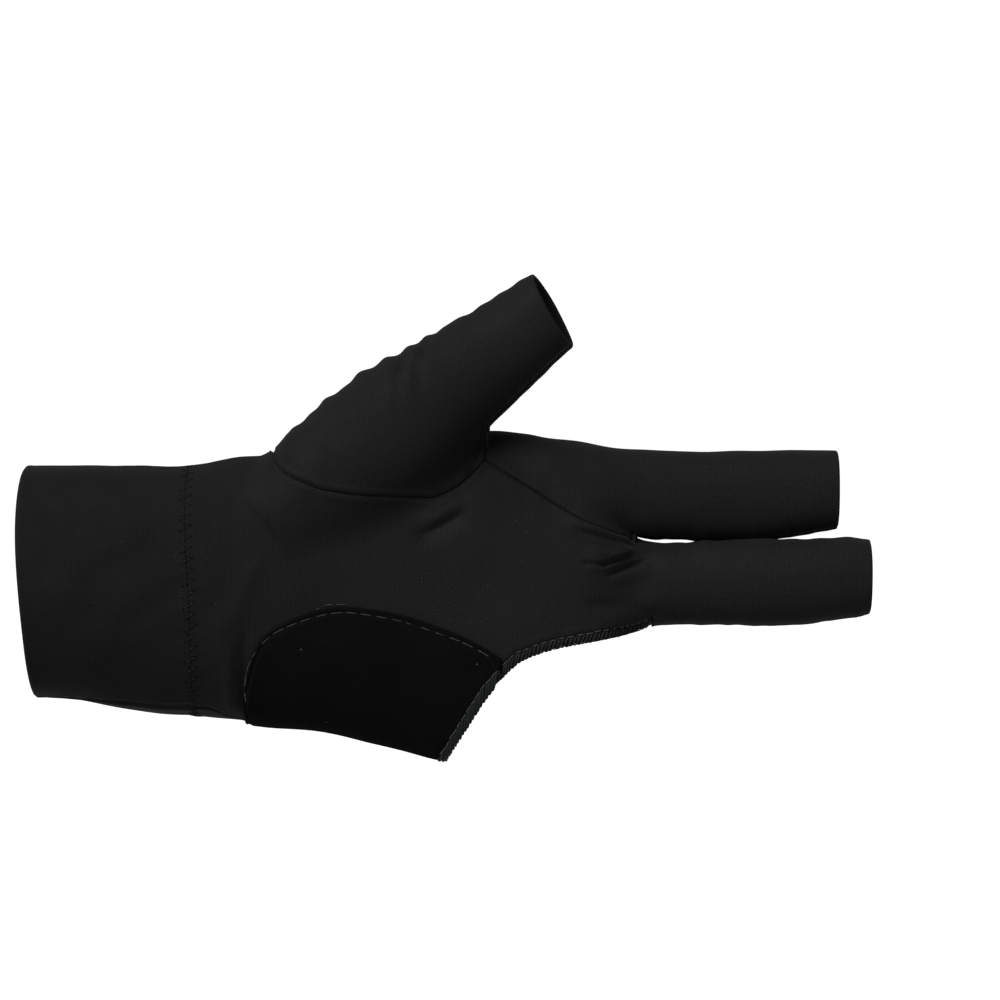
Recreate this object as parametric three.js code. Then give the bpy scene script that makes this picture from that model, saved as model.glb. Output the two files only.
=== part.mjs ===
// A three-finger billiard glove of thin stretch cloth, in the form that it has on a hand.
// The wrist mouth is centred on the origin. +X runs along the fingers, the palm faces -Y and the thumb side is +Z.
import * as THREE from "three";

// Cuff and hand, in millimetres.
const CUFF_LENGTH = 36.6; // wrist mouth to the seam with the hand
const MOUTH_HEIGHT = 53;
const MOUTH_DEPTH = 40;
const MOUTH_SLANT = 2.3; // how much further the thumb side of the mouth reaches
const MOUTH_BOW = 1.2; // how far the mouth's palm and back stand out past its sides
const WRIST_HEIGHT = 57; // at the seam
const WRIST_DEPTH = 36;
const HAND_LENGTH = 102; // seam to the crotch between index and middle finger
const HAND_HEIGHT = 74; // across the knuckles
const HAND_DEPTH = 28;

// Finger sleeves.
const INDEX_LENGTH = 47; // crotch to opening
const INDEX_HEIGHT = 20.8;
const INDEX_DEPTH = 19;
const MIDDLE_LENGTH = 54.1;
const MIDDLE_HEIGHT = 19.6;
const MIDDLE_DEPTH = 18.6;
const THUMB_LENGTH = 80; // root in the hand to opening
const THUMB_HEIGHT = 30; // across the ball of the thumb
const THUMB_DEPTH = 30;
const THUMB_ANGLE = 38; // degrees up from the fingers
const THUMB_SLANT = 1.4; // how much further the opening reaches on the thumb's outer side
const THUMB_LEAN = 1.3; // and on its back

// Cloth.
const CLOTH_WALL = 1.2;
const CUFF_WALL = 2; // two layers
const PATCH_WALL = 1.2;
const HEM_WALL = 1.8;
const HEM_WIDTH = 1.8;
const HEM_PROUD = 0.3; // over the cloth
const SEAM_GAP = 0.3; // between one piece and the next
const SEAM_TURN = 5; // degrees that the side seams lie round on the palm side
const SLEEVE_SEAM_TURN = 20; // the same on the thumb and the index finger

// Relief of the cloth, each height out of the surface.
const FOLD_HEIGHT = 1;
const PUCKER_HEIGHT = 0.9;

// How softly one round form runs into the next.
const FINGER_BLEND = 5;
const THUMB_BLEND = 4;
const CROTCH_BLEND = 14;
const PART_WAY = 4; // length over which two sleeves come apart past their crotch
const PART_OFF = 25; // offset that takes a neighbour's form out of a piece's skin
const OVAL_POWER = 2.3; // 2 is an ellipse, and more is squarer
const SPINE_SHARE = 0.62; // height of the hand's middle line in its section, from which the skin is measured
const SPINE_OVER_CUT = 0.4; // the same between the cut-out and the index finger's seam
const SIDE_FADE = 1.6; // how fast the folds die out towards the sides
const FOLD_EVEN = 0.35; // share of a fold's length to either side of its middle that is at full height

// Steps along and round each piece.
const STEP_ALONG = 3.7;
const THUMB_STEP = 2.4;
const CUFF_ROUND = 32;
const HAND_ROUND = 12;
const PALM_ROUND = 7;
const PATCH_ROUND = 6;
const INDEX_ROUND = 18;
const THUMB_ROUND = 8;
const HEM_ROUND = 2;
const CORNER_STEP = 1.4; // first step along the thumb's seam
const THUMB_SETTLE = 3; // how soon along its base seam the thumb's middle line comes to its own depth
const PART_LEAST = 0.025; // least share of the palm that the patch's columns take
const PART_EASE = 11; // length over which those columns spread out again past the patch

// Search for the skin along a ray.
const RAY_STEP = 0.8;
const RAY_END = 90;
const RAY_HALVINGS = 18;
const ANGLE_HALVINGS = 16;
const NEAR = 0.2; // half the step over which a slope is taken
const END_NEAR = 0.02; // how near to a row's end its last point is

const CLOTH_COLOUR = 0x1b1b1d;
const PATCH_COLOUR = 0x0a0a0b;
const HEM_COLOUR = 0x191e1e;

const RADIAN = Math.PI / 180;
const FINGER_CROTCH = CUFF_LENGTH + HAND_LENGTH;
const alongHand = (share) => CUFF_LENGTH + share * HAND_LENGTH;

// A table's rows as one list for each named column.
function table(columns, rows) {
  return Object.fromEntries(columns.map((name, i) => [name, rows.map((row) => row[i])]));
}

// The hand's sections from the cuff's seam to the knuckles. Heights are shares of the height and depth at that place,
// which run in a straight line from the wrist's to the hand's.
const HAND_ROWS = table(
  ["along", "top", "bottom", "palm", "back"],
  [
    [0.0, 0.464, -0.541, 0.52, 0.49],
    [0.13, 0.484, -0.543, 0.5, 0.47],
    [0.27, 0.474, -0.543, 0.51, 0.46],
    [0.42, 0.447, -0.57, 0.5, 0.46],
    [0.57, 0.448, -0.611, 0.48, 0.465],
    [0.67, 0.504, -0.62, 0.48, 0.465],
    [0.75, 0.482, -0.595, 0.485, 0.465],
    [0.83, 0.441, -0.562, 0.49, 0.47],
    [0.92, 0.405, -0.52, 0.49, 0.47],
    [1.0, 0.355, -0.473, 0.48, 0.46],
  ],
);

// A finger's sections: along is a share of its length past the crotch, middle and half height are shares of its
// height, and forward, its shift towards the back of the hand, and half depth are shares of its depth.
const FINGER_COLUMNS = ["along", "middle", "half", "forward", "deep"];
const INDEX_ROWS = table(FINGER_COLUMNS, [
  [-0.72, 0.8, 0.36, 0.0, 0.38],
  [-0.3, 0.925, 0.46, 0.0, 0.46],
  [0.0, 0.955, 0.499, 0.03, 0.49],
  [0.27, 0.945, 0.493, 0.08, 0.495],
  [0.53, 0.947, 0.495, 0.12, 0.5],
  [0.78, 0.968, 0.483, 0.14, 0.49],
  [1.0, 1.01, 0.438, 0.14, 0.46],
]);
const MIDDLE_ROWS = table(FINGER_COLUMNS, [
  [-0.62, -0.1, 0.38, 0.0, 0.38],
  [-0.2, -0.07, 0.46, 0.0, 0.46],
  [0.0, -0.055, 0.51, -0.02, 0.49],
  [0.11, -0.03, 0.485, -0.04, 0.49],
  [0.26, -0.03, 0.48, -0.06, 0.485],
  [0.53, -0.025, 0.5, -0.08, 0.5],
  [0.73, 0.0, 0.5, -0.09, 0.49],
  [0.9, 0.035, 0.475, -0.09, 0.47],
  [1.0, 0.05, 0.44, -0.09, 0.45],
]);
// The same columns for the thumb, with along a share of its length from the root.
const THUMB_ROWS = table(FINGER_COLUMNS, [
  [0.0, 0.0, 0.3, -0.2, 0.36],
  [0.12, 0.0, 0.435, -0.21, 0.41],
  [0.25, 0.0, 0.495, -0.22, 0.43],
  [0.44, 0.0, 0.498, -0.23, 0.42],
  [0.59, 0.0, 0.438, -0.23, 0.37],
  [0.69, 0.0, 0.401, -0.23, 0.335],
  [0.83, 0.0, 0.358, -0.23, 0.3],
  [1.0, 0.0, 0.315, -0.23, 0.28],
]);
const THUMB_ROOT = { along: 0.199, up: 0.174 }; // shares of the hand's length and height
const THUMB_CROTCH_UP = 0.474; // the same share at the crotch with the index finger

// Seams and edges as seen from the palm, in shares of the hand's length past the cuff and of its height.
const EDGE_COLUMNS = ["along", "up"];
const THUMB_SEAM = table(EDGE_COLUMNS, [
  [0.191, 0.402],
  [0.208, 0.352],
  [0.256, 0.31],
  [0.323, 0.277],
  [0.422, 0.261],
  [0.541, 0.258],
  [0.599, 0.292],
  [0.647, 0.351],
  [0.666, 0.376],
]);
const INDEX_SEAM = table(EDGE_COLUMNS, [
  [0.666, 0.376],
  [0.741, 0.318],
  [0.767, 0.28],
  [0.843, 0.226],
  [1.0, 0.124],
]);
const CUT_OUT = table(EDGE_COLUMNS, [
  [0.57, -0.562],
  [0.622, -0.447],
  [0.673, -0.341],
  [0.718, -0.272],
  [0.747, -0.24],
  [0.818, -0.204],
  [0.92, -0.177],
  [1.0, -0.156],
  [1.04, -0.136],
]);
const PATCH_EDGE = table(EDGE_COLUMNS, [
  [0.129, -0.334],
  [0.138, -0.272],
  [0.166, -0.197],
  [0.22, -0.139],
  [0.269, -0.107],
  [0.322, -0.076],
  [0.36, -0.073],
  [0.397, -0.09],
  [0.473, -0.111],
  [0.559, -0.149],
  [0.635, -0.191],
  [0.7, -0.246],
]);

// Folds as seen from the palm: both ends, and the half width as a share of the hand's height. Lift is a share of the
// fold height, and negative for a hollow.
const FOLDS = table(
  ["fromAlong", "fromUp", "toAlong", "toUp", "wide", "lift"],
  [
    [-0.29, -0.06, -0.09, 0.1, 0.09, 1.0],
    [-0.21, -0.19, -0.02, -0.03, 0.08, 0.9],
    [0.07, -0.1, 0.1, -0.4, 0.045, 0.7],
    [0.52, 0.14, 0.61, 0.21, 0.03, -0.8],
    [0.54, 0.19, 0.6, 0.25, 0.028, 0.7],
    [0.85, 0.19, 0.98, 0.11, 0.028, 0.9],
    [0.9, 0.06, 0.99, 0.1, 0.028, 0.8],
    [0.94, 0.03, 1.0, 0.06, 0.022, -0.6],
    [0.93, -0.13, 1.05, -0.06, 0.04, 0.7],
    [0.3, 0.02, 0.7, 0.02, 0.2, -1.6],
  ],
);

// Gathers along the thumb's outer seam: along and wide are shares of its length, far, how far in they run, is a share
// of its height, slant is how much they lean as they run in, and lift is a share of the pucker height.
const PUCKERS = table(
  ["along", "wide", "far", "slant", "lift"],
  [
    [0.19, 0.04, 0.2, 0.3, 0.7],
    [0.33, 0.045, 0.22, 0.3, 0.9],
    [0.45, 0.035, 0.2, 0.4, 0.9],
    [0.54, 0.026, 0.3, 0.6, 1.0],
    [0.61, 0.022, 0.3, 0.7, 0.9],
    [0.67, 0.02, 0.2, 0.6, 0.8],
    [0.75, 0.03, 0.16, 0.3, 0.5],
  ],
);

// Value of a column at a place: a curve through the rows that never swings past them. Its slope at a row is the
// harmonic mean of the slopes on either side, or nothing where they differ in sign.
function curve(at, values, place) {
  const last = at.length - 1;
  let i = 0;
  while (i < last - 1 && place > at[i + 1]) i += 1;
  const step = (k) => (values[k + 1] - values[k]) / (at[k + 1] - at[k]);
  const slope = (k) => {
    if (k === 0) return step(0);
    if (k === last) return step(last - 1);
    const [a, b] = [step(k - 1), step(k)];
    return a * b > 0 ? (2 * a * b) / (a + b) : 0;
  };
  if (place <= at[0]) return values[0] + (place - at[0]) * slope(0);
  if (place >= at[last]) return values[last] + (place - at[last]) * slope(last);
  const width = at[i + 1] - at[i];
  const t = (place - at[i]) / width;
  const [t2, t3] = [t * t, t * t * t];
  return (
    values[i] * (2 * t3 - 3 * t2 + 1) +
    values[i + 1] * (3 * t2 - 2 * t3) +
    slope(i) * width * (t3 - 2 * t2 + t) +
    slope(i + 1) * width * (t3 - t2)
  );
}

const mix = (a, b, t) => a + (b - a) * t;
const clamp = (value, low, high) => Math.min(Math.max(value, low), high);
const ramp = (t) => THREE.MathUtils.smoothstep(t, 0, 1);

// Height in millimetres of a seam or an edge at a place along X.
const edgeAt = (edge, x) => HAND_HEIGHT * curve(edge.along, edge.up, (x - CUFF_LENGTH) / HAND_LENGTH);

const slopeOf = (edge, x) => (edgeAt(edge, x + NEAR) - edgeAt(edge, x - NEAR)) / NEAR / 2;

// How much further apart two lines are along Z than across, where the line between them slopes.
function steepness(edge, x) {
  return Math.hypot(1, slopeOf(edge, x));
}

// Signed distance, roughly, to an oval tube with its own reach towards the palm and the back.
function oval(y, z, palm, back, half) {
  const across = Math.abs(y) / (y < 0 ? palm : back);
  const up = Math.abs(z) / half;
  const size = (across ** OVAL_POWER + up ** OVAL_POWER) ** (1 / OVAL_POWER);
  return (size - 1) * Math.min(palm, back, half);
}

// Lesser of two distances, rounded where they are within k of each other.
function blend(a, b, k) {
  const near = Math.max(k - Math.abs(a - b), 0) / k;
  return Math.min(a, b) - (near * near * k) / 4;
}

// Top, bottom, palm and back of the cuff and the hand at a place along X.
function handSection(x) {
  const share = (x - CUFF_LENGTH) / HAND_LENGTH;
  const place = clamp(share, 0, 1.1);
  const height = mix(WRIST_HEIGHT, HAND_HEIGHT, place);
  const depth = mix(WRIST_DEPTH, HAND_DEPTH, place);
  const row = (name) => curve(HAND_ROWS.along, HAND_ROWS[name], place);
  const section = {
    top: height * row("top"),
    bottom: height * row("bottom"),
    palm: depth * row("palm"),
    back: depth * row("back"),
  };
  if (share >= 0) return section;
  const toMouth = ramp(1 - x / CUFF_LENGTH);
  return {
    top: mix(section.top, MOUTH_HEIGHT / 2, toMouth),
    bottom: mix(section.bottom, -MOUTH_HEIGHT / 2, toMouth),
    palm: mix(section.palm, MOUTH_DEPTH / 2, toMouth),
    back: mix(section.back, MOUTH_DEPTH / 2, toMouth),
  };
}

function handForm(x, y, z) {
  const { top, bottom, palm, back } = handSection(x);
  const tube = oval(y, z - (top + bottom) / 2, palm, back, (top - bottom) / 2);
  return -blend(-tube, FINGER_CROTCH - x, CROTCH_BLEND);
}

// One section of a finger: its middle, half height, shift and half depth.
function fingerSection(rows, share, height, depth) {
  const row = (name) => curve(rows.along, rows[name], clamp(share, rows.along[0], 1.1));
  return {
    middle: height * row("middle"),
    half: height * row("half"),
    forward: depth * row("forward"),
    deep: depth * row("deep"),
  };
}

const indexSection = (x) =>
  fingerSection(INDEX_ROWS, (x - FINGER_CROTCH) / INDEX_LENGTH, INDEX_HEIGHT, INDEX_DEPTH);
const middleSection = (x) =>
  fingerSection(MIDDLE_ROWS, (x - FINGER_CROTCH) / MIDDLE_LENGTH, MIDDLE_HEIGHT, MIDDLE_DEPTH);
const thumbSection = (s) => fingerSection(THUMB_ROWS, s / THUMB_LENGTH, THUMB_HEIGHT, THUMB_DEPTH);

function fingerForm(section, x, y, z, start) {
  const { middle, half, forward, deep } = section(x);
  const tube = oval(y - forward, z - middle, deep, deep, half);
  return Math.max(tube, start - x);
}
const INDEX_START = FINGER_CROTCH + INDEX_ROWS.along[0] * INDEX_LENGTH;
const MIDDLE_START = FINGER_CROTCH + MIDDLE_ROWS.along[0] * MIDDLE_LENGTH;

// The thumb's own directions: s along it and w across it, towards the index finger.
const ALONG_THUMB = [Math.cos(THUMB_ANGLE * RADIAN), Math.sin(THUMB_ANGLE * RADIAN)];
const ROOT = [alongHand(THUMB_ROOT.along), THUMB_ROOT.up * HAND_HEIGHT];
const thumbS = (x, z) => (x - ROOT[0]) * ALONG_THUMB[0] + (z - ROOT[1]) * ALONG_THUMB[1];
const thumbW = (x, z) => (x - ROOT[0]) * ALONG_THUMB[1] - (z - ROOT[1]) * ALONG_THUMB[0];
const thumbPoint = (s, w) => [
  ROOT[0] + s * ALONG_THUMB[0] + w * ALONG_THUMB[1],
  ROOT[1] + s * ALONG_THUMB[1] - w * ALONG_THUMB[0],
];

function thumbForm(x, y, z) {
  const s = thumbS(x, z);
  const { half, forward, deep } = thumbSection(s);
  return Math.max(oval(y - forward, thumbW(x, z), deep, deep, half), -s);
}

// The glove's skin as one rounded form: negative inside. Apart says how far each form is taken out, and past is how
// far a place lies past the end of a piece.
function skin(x, y, z, apart) {
  const hand = handForm(x, y, z) + apart.hand;
  const index = fingerForm(indexSection, x, y, z, INDEX_START) + apart.index;
  const middle = fingerForm(middleSection, x, y, z, MIDDLE_START) + apart.middle;
  const fingers = blend(blend(hand, middle, FINGER_BLEND), index, FINGER_BLEND);
  const whole = blend(fingers, thumbForm(x, y, z) + apart.thumb, THUMB_BLEND);
  return Math.max(whole, apart.past(x, z));
}

const THUMB_CROTCH = alongHand(THUMB_SEAM.along.at(-1));
const CROTCH = [THUMB_CROTCH, THUMB_CROTCH_UP * HAND_HEIGHT];
const TOGETHER = { hand: 0, index: 0, middle: 0, thumb: 0, past: () => -PART_OFF };
const pastCrotch = (x) => PART_OFF * ramp((x - FINGER_CROTCH) / PART_WAY);
const pastThumb = (x) => PART_OFF * ramp((x - THUMB_CROTCH) / PART_WAY);
const handApart = (x) => ({ ...TOGETHER, index: pastCrotch(x), thumb: pastThumb(x) });
// The index finger's skin ends under the thumb's crotch, where it would run on into the thumb.
const INDEX_CEILING = CROTCH[1] - SEAM_GAP;
const indexApart = (x) => ({
  ...TOGETHER,
  middle: pastCrotch(x),
  thumb: pastThumb(x),
  past: (_, z) => z - INDEX_CEILING,
});

// First place where a ray from inside leaves the skin.
function reach(from, way, apart) {
  const at = (r) => skin(from[0] + way[0] * r, from[1] + way[1] * r, from[2] + way[2] * r, apart);
  let far = RAY_STEP;
  while (at(far) < 0 && far < RAY_END) far += RAY_STEP;
  let near = far - RAY_STEP;
  for (let i = 0; i < RAY_HALVINGS; i += 1) {
    const half = (near + far) / 2;
    if (at(half) < 0) near = half;
    else far = half;
  }
  return from.map((value, i) => value + way[i] * near);
}

function outward(point, apart) {
  const slope = [0, 1, 2].map((axis) => {
    const ahead = [...point];
    const behind = [...point];
    ahead[axis] += NEAR;
    behind[axis] -= NEAR;
    return skin(...ahead, apart) - skin(...behind, apart);
  });
  return new THREE.Vector3(...slope).normalize();
}

// Relief of the palm's folds at a place seen from the palm.
function folds(x, z) {
  let height = 0;
  FOLDS.lift.forEach((lift, i) => {
    const a = [alongHand(FOLDS.fromAlong[i]), FOLDS.fromUp[i] * HAND_HEIGHT];
    const b = [alongHand(FOLDS.toAlong[i]), FOLDS.toUp[i] * HAND_HEIGHT];
    const way = [b[0] - a[0], b[1] - a[1]];
    const length = Math.hypot(...way);
    const share = ((x - a[0]) * way[0] + (z - a[1]) * way[1]) / (length * length);
    const aside = ((x - a[0]) * way[1] - (z - a[1]) * way[0]) / length;
    const wide = FOLDS.wide[i] * HAND_HEIGHT;
    const beyond = Math.max(Math.abs(share - 0.5) - FOLD_EVEN, 0) * (length / wide);
    height += lift * Math.exp(-((aside / wide) ** 2) - beyond ** 2);
  });
  return height * FOLD_HEIGHT;
}

// Closed solid between two grids of points, each a list of rows. Round says that each row closes on itself.
function shell(name, colour, outer, inner, round = false) {
  const rows = outer.length;
  const columns = outer[0].length;
  const points = [...outer.flat(), ...inner.flat()];
  const at = (side, i, j) => side * rows * columns + i * columns + (j % columns);
  const faces = [];
  const quad = (a, b, c, d) => faces.push(a, b, c, a, c, d);
  const across = round ? columns : columns - 1;
  for (let i = 0; i < rows - 1; i += 1) {
    for (let j = 0; j < across; j += 1) {
      quad(at(0, i, j), at(0, i + 1, j), at(0, i + 1, j + 1), at(0, i, j + 1));
      quad(at(1, i, j), at(1, i, j + 1), at(1, i + 1, j + 1), at(1, i + 1, j));
    }
  }
  for (let j = 0; j < across; j += 1) {
    quad(at(0, 0, j), at(0, 0, j + 1), at(1, 0, j + 1), at(1, 0, j));
    quad(at(0, rows - 1, j), at(1, rows - 1, j), at(1, rows - 1, j + 1), at(0, rows - 1, j + 1));
  }
  for (let i = 0; i < rows - 1 && !round; i += 1) {
    quad(at(0, i, 0), at(1, i, 0), at(1, i + 1, 0), at(0, i + 1, 0));
    quad(at(0, i, across), at(0, i + 1, across), at(1, i + 1, across), at(1, i, across));
  }
  if (volume(points, faces) < 0) faces.reverse();
  const geometry = new THREE.BufferGeometry().setFromPoints(points);
  geometry.setIndex(faces);
  geometry.computeVertexNormals();
  const material = new THREE.MeshStandardMaterial({ color: colour, roughness: 0.85, metalness: 0 });
  const mesh = new THREE.Mesh(geometry, material);
  mesh.name = name;
  return mesh;
}

function volume(points, faces) {
  let sum = 0;
  for (let i = 0; i < faces.length; i += 3) {
    const [a, b, c] = [0, 1, 2].map((k) => points[faces[i + k]]);
    sum += a.dot(b.clone().cross(c));
  }
  return sum / 6;
}

// Grid of points at a height over a grid of skin points with their normals.
function lifted(grid, height) {
  return grid.map((row) => row.map(({ point, normal }) => point.clone().addScaledVector(normal, height)));
}

// Stations along X between two places, about one step apart.
function stations(from, to, step = STEP_ALONG) {
  const count = Math.max(Math.round((to - from) / step), 1);
  return Array.from({ length: count + 1 }, (_, i) => mix(from, to, i / count));
}

// Ray from a spine at an angle: 0 is down, 90 the palm, 180 up and 270 the back.
const spoke = (angle) => [0, -Math.sin(angle * RADIAN), -Math.cos(angle * RADIAN)];

// Middle line of the hand and of the middle finger, from which rays meet the palm and the ball of the thumb squarely.
function handSpine(x) {
  const { top, bottom } = handSection(x);
  const seam = edgeAt(INDEX_SEAM, clamp(x, THUMB_CROTCH, FINGER_CROTCH));
  const edge = edgeAt(CUT_OUT, x);
  const palm = Math.max(mix(bottom, top, SPINE_SHARE), mix(edge, seam, SPINE_OVER_CUT));
  const t = ramp((x - THUMB_CROTCH) / (FINGER_CROTCH - THUMB_CROTCH));
  const { middle, forward } = middleSection(x);
  return [x, forward * t, mix(palm, middle, t)];
}

const indexSpine = (x) => {
  const { middle, forward } = indexSection(x);
  return [x, forward, middle];
};

const handPoint = (x, angle) => reach(handSpine(x), spoke(angle), handApart(x));
const indexPoint = (x, angle) => reach(indexSpine(x), spoke(angle), indexApart(x));
const handBack = (x, angle) => handPoint(x, 360 - angle);
const indexBack = (x, angle) => indexPoint(x, 360 - angle);

// Angle between two limits where the skin is at a height. Heights rise from low to high.
function angleAt(pointOf, x, height, low, high) {
  let [a, b] = [low, high];
  for (let i = 0; i < ANGLE_HALVINGS; i += 1) {
    const half = (a + b) / 2;
    if (pointOf(x, half)[2] < height) a = half;
    else b = half;
  }
  return (a + b) / 2;
}

// One row of skin points at equal lengths round a section, between two angles. Relief gives each point's height.
function skinRow(pointAt, apart, from, to, count, relief) {
  const fine = count * 3;
  const angles = Array.from({ length: fine + 1 }, (_, i) => mix(from, to, i / fine));
  const points = angles.map(pointAt);
  const run = [0];
  for (let i = 1; i <= fine; i += 1) {
    run.push(run[i - 1] + Math.hypot(...points[i].map((value, k) => value - points[i - 1][k])));
  }
  return Array.from({ length: count + 1 }, (_, j) => {
    const target = (run[fine] * j) / count;
    let k = 1;
    while (k < fine && run[k] < target) k += 1;
    const part = (target - run[k - 1]) / (run[k] - run[k - 1]);
    return skinPoint(pointAt, apart, mix(angles[k - 1], angles[k], part), relief);
  });
}

function skinPoint(pointAt, apart, angle, relief) {
  const point = pointAt(angle);
  const normal = outward(point, apart);
  return { point: new THREE.Vector3(...point).addScaledVector(normal, relief(point, normal)), normal };
}

// The folds show on the palm and die out towards the sides.
const palmRelief = ([x, , z], normal) => folds(x, z) * ramp(-normal.y * SIDE_FADE);
const handRow = (x, from, to, count) =>
  skinRow((angle) => handPoint(x, angle), handApart(x), from, to, count, palmRelief);
const indexRow = (x, from, to, count) =>
  skinRow((angle) => indexPoint(x, angle), indexApart(x), from, to, count, palmRelief);

// Turn in degrees that half a seam's gap is on a finger.
const GAP_TURN = SEAM_GAP / MIDDLE_HEIGHT / RADIAN;

// Upper seam of the palm and of the back: the thumb's seam, then the index finger's.
const upperEdge = (x) => (x < THUMB_CROTCH ? THUMB_SEAM : INDEX_SEAM);
function seamHeight(x, side) {
  const edge = upperEdge(x);
  return edgeAt(edge, x) + (side * SEAM_GAP * steepness(edge, x)) / 2;
}
const cutHeight = (x, width) => edgeAt(CUT_OUT, x) + width * steepness(CUT_OUT, x);

const CORNER = alongHand(THUMB_SEAM.along[0]); // where the thumb's seam leaves the top of the hand
const CUT_START = alongHand(CUT_OUT.along[0]);
const CUT_END = alongHand(CUT_OUT.along.at(-1));
const PATCH_START = alongHand(PATCH_EDGE.along[0]);
const PATCH_END = alongHand(PATCH_EDGE.along.at(-1));
const HEM_CLEAR = HEM_WIDTH + SEAM_GAP;
// The hem's inner edge meets the side seam before its outer edge does.
const HEM_START = CUT_START - (HEM_WIDTH * steepness(CUT_OUT, CUT_START)) / slopeOf(CUT_OUT, CUT_START) / 2;

// Angles of the side seams, which lie a little round on the palm side.
const LOW_SEAM = SEAM_TURN;
const HIGH_SEAM = 180 - SEAM_TURN;

const palmAngle = (x, height) => angleAt(handPoint, x, height, 0, 180);
const backAngle = (x, height) => 360 - angleAt(handBack, x, height, 0, 180);
const onCutOut = (x) => x >= HEM_START - SEAM_GAP && x <= CUT_END;
const underThumb = (x) => x >= CORNER && x <= FINGER_CROTCH;

// Degrees that a width takes up at the lower side seam.
function turnOf(x, width) {
  const [, y, z] = handPoint(x, LOW_SEAM);
  const spine = handSpine(x);
  return width / Math.hypot(y - spine[1], z - spine[2]) / RADIAN;
}

// Limits of a piece round the section. The lower ones keep a width from the cut-out.
function palmLow(x, width) {
  const seam = LOW_SEAM + GAP_TURN;
  return onCutOut(x) ? Math.max(seam + turnOf(x, width), palmAngle(x, cutHeight(x, width))) : seam;
}
function palmHigh(x) {
  const seam = HIGH_SEAM - GAP_TURN;
  return underThumb(x) ? Math.min(seam, palmAngle(x, seamHeight(x, -1))) : seam;
}
function backHigh(x) {
  const seam = HIGH_SEAM + GAP_TURN;
  return underThumb(x) ? Math.max(seam, backAngle(x, seamHeight(x, -1))) : seam;
}
function backLow(x, width) {
  const seam = 360 + LOW_SEAM - GAP_TURN;
  if (!onCutOut(x)) return seam;
  const cut = backAngle(x, cutHeight(x, width));
  return Math.min(seam - turnOf(x, width), cut < 359 ? cut : seam);
}

const PANEL_STATIONS = [
  ...stations(CUFF_LENGTH + SEAM_GAP / 2, PATCH_START),
  ...stations(PATCH_START, CORNER).slice(1),
  CORNER + CORNER_STEP,
  ...stations(CORNER + STEP_ALONG, HEM_START - 2 * SEAM_GAP),
  HEM_START - SEAM_GAP,
  ...stations(HEM_START, CUT_START),
  ...stations(CUT_START, THUMB_CROTCH).slice(1),
  ...stations(THUMB_CROTCH, PATCH_END).slice(1),
  ...stations(PATCH_END, FINGER_CROTCH).slice(1),
  ...stations(FINGER_CROTCH, CUT_END).slice(1),
  ...stations(CUT_END + SEAM_GAP, FINGER_CROTCH + MIDDLE_LENGTH),
];

// Angle that parts the palm's columns: along the patch's edge where there is a patch, and a set share elsewhere.
const PATCH_SHARE = PATCH_ROUND / (PATCH_ROUND + PALM_ROUND);
function partAngle(x) {
  const [low, high] = [palmLow(x, HEM_CLEAR), palmHigh(x)];
  const even = mix(low, high, PATCH_SHARE);
  const past = Math.max(PATCH_START - x, x - PATCH_END, 0);
  const edge = palmAngle(x, edgeAt(PATCH_EDGE, clamp(x, PATCH_START, PATCH_END)));
  return Math.max(mix(edge, even, ramp(past / PART_EASE)), mix(low, high, PART_LEAST));
}

const PALM_GRID = PANEL_STATIONS.map((x) => {
  const part = partAngle(x);
  const lower = handRow(x, palmLow(x, HEM_CLEAR), part, PATCH_ROUND);
  return [...lower, ...handRow(x, part, palmHigh(x), PALM_ROUND).slice(1)];
});

function cuff() {
  const rows = Math.round(CUFF_LENGTH / STEP_ALONG);
  const grid = stations(0, 1, 1 / rows).map((share) =>
    Array.from({ length: CUFF_ROUND }, (_, j) => {
      const angle = (360 * j) / CUFF_ROUND;
      const mouth = (MOUTH_SLANT / 2) * Math.cos(angle * RADIAN) - MOUTH_BOW * Math.sin(angle * RADIAN) ** 2;
      const x = mix(mouth, CUFF_LENGTH - SEAM_GAP / 2, share);
      return skinPoint((turn) => handPoint(x, turn), handApart(x), angle, palmRelief);
    }),
  );
  return shell("cuff", CLOTH_COLOUR, lifted(grid, 0), lifted(grid, -CUFF_WALL), true);
}

function palmPanel() {
  return shell("palm_panel", CLOTH_COLOUR, lifted(PALM_GRID, 0), lifted(PALM_GRID, -CLOTH_WALL));
}

function backPanel() {
  const grid = PANEL_STATIONS.map((x) => handRow(x, backHigh(x), backLow(x, HEM_CLEAR), HAND_ROUND));
  return shell("back_panel", CLOTH_COLOUR, lifted(grid, 0), lifted(grid, -CLOTH_WALL));
}

// The patch lies on the palm's own columns, a seam's gap over them.
function heelPatch() {
  const rows = PALM_GRID.filter((_, i) => PANEL_STATIONS[i] >= PATCH_START && PANEL_STATIONS[i] <= PATCH_END);
  const grid = rows.map((row) => row.slice(0, PATCH_ROUND + 1));
  return shell("heel_patch", PATCH_COLOUR, lifted(grid, SEAM_GAP + PATCH_WALL), lifted(grid, SEAM_GAP));
}

// A hem along the cut-out between two places, on the palm or on the back, with its outer height over the skin.
function hem(name, from, to, angles, height) {
  const between = PANEL_STATIONS.filter((x) => x > from + SEAM_GAP && x < to - SEAM_GAP);
  const grid = [from, ...between, to].map((x) => handRow(x, ...angles(x), HEM_ROUND));
  return shell(name, HEM_COLOUR, lifted(grid, height), lifted(grid, height - HEM_WALL));
}
const palmHemAngles = (x) => [palmLow(x, 0), palmLow(x, HEM_WIDTH)];
const backHemAngles = (x) => [backLow(x, HEM_WIDTH), backLow(x, 0)];

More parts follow.
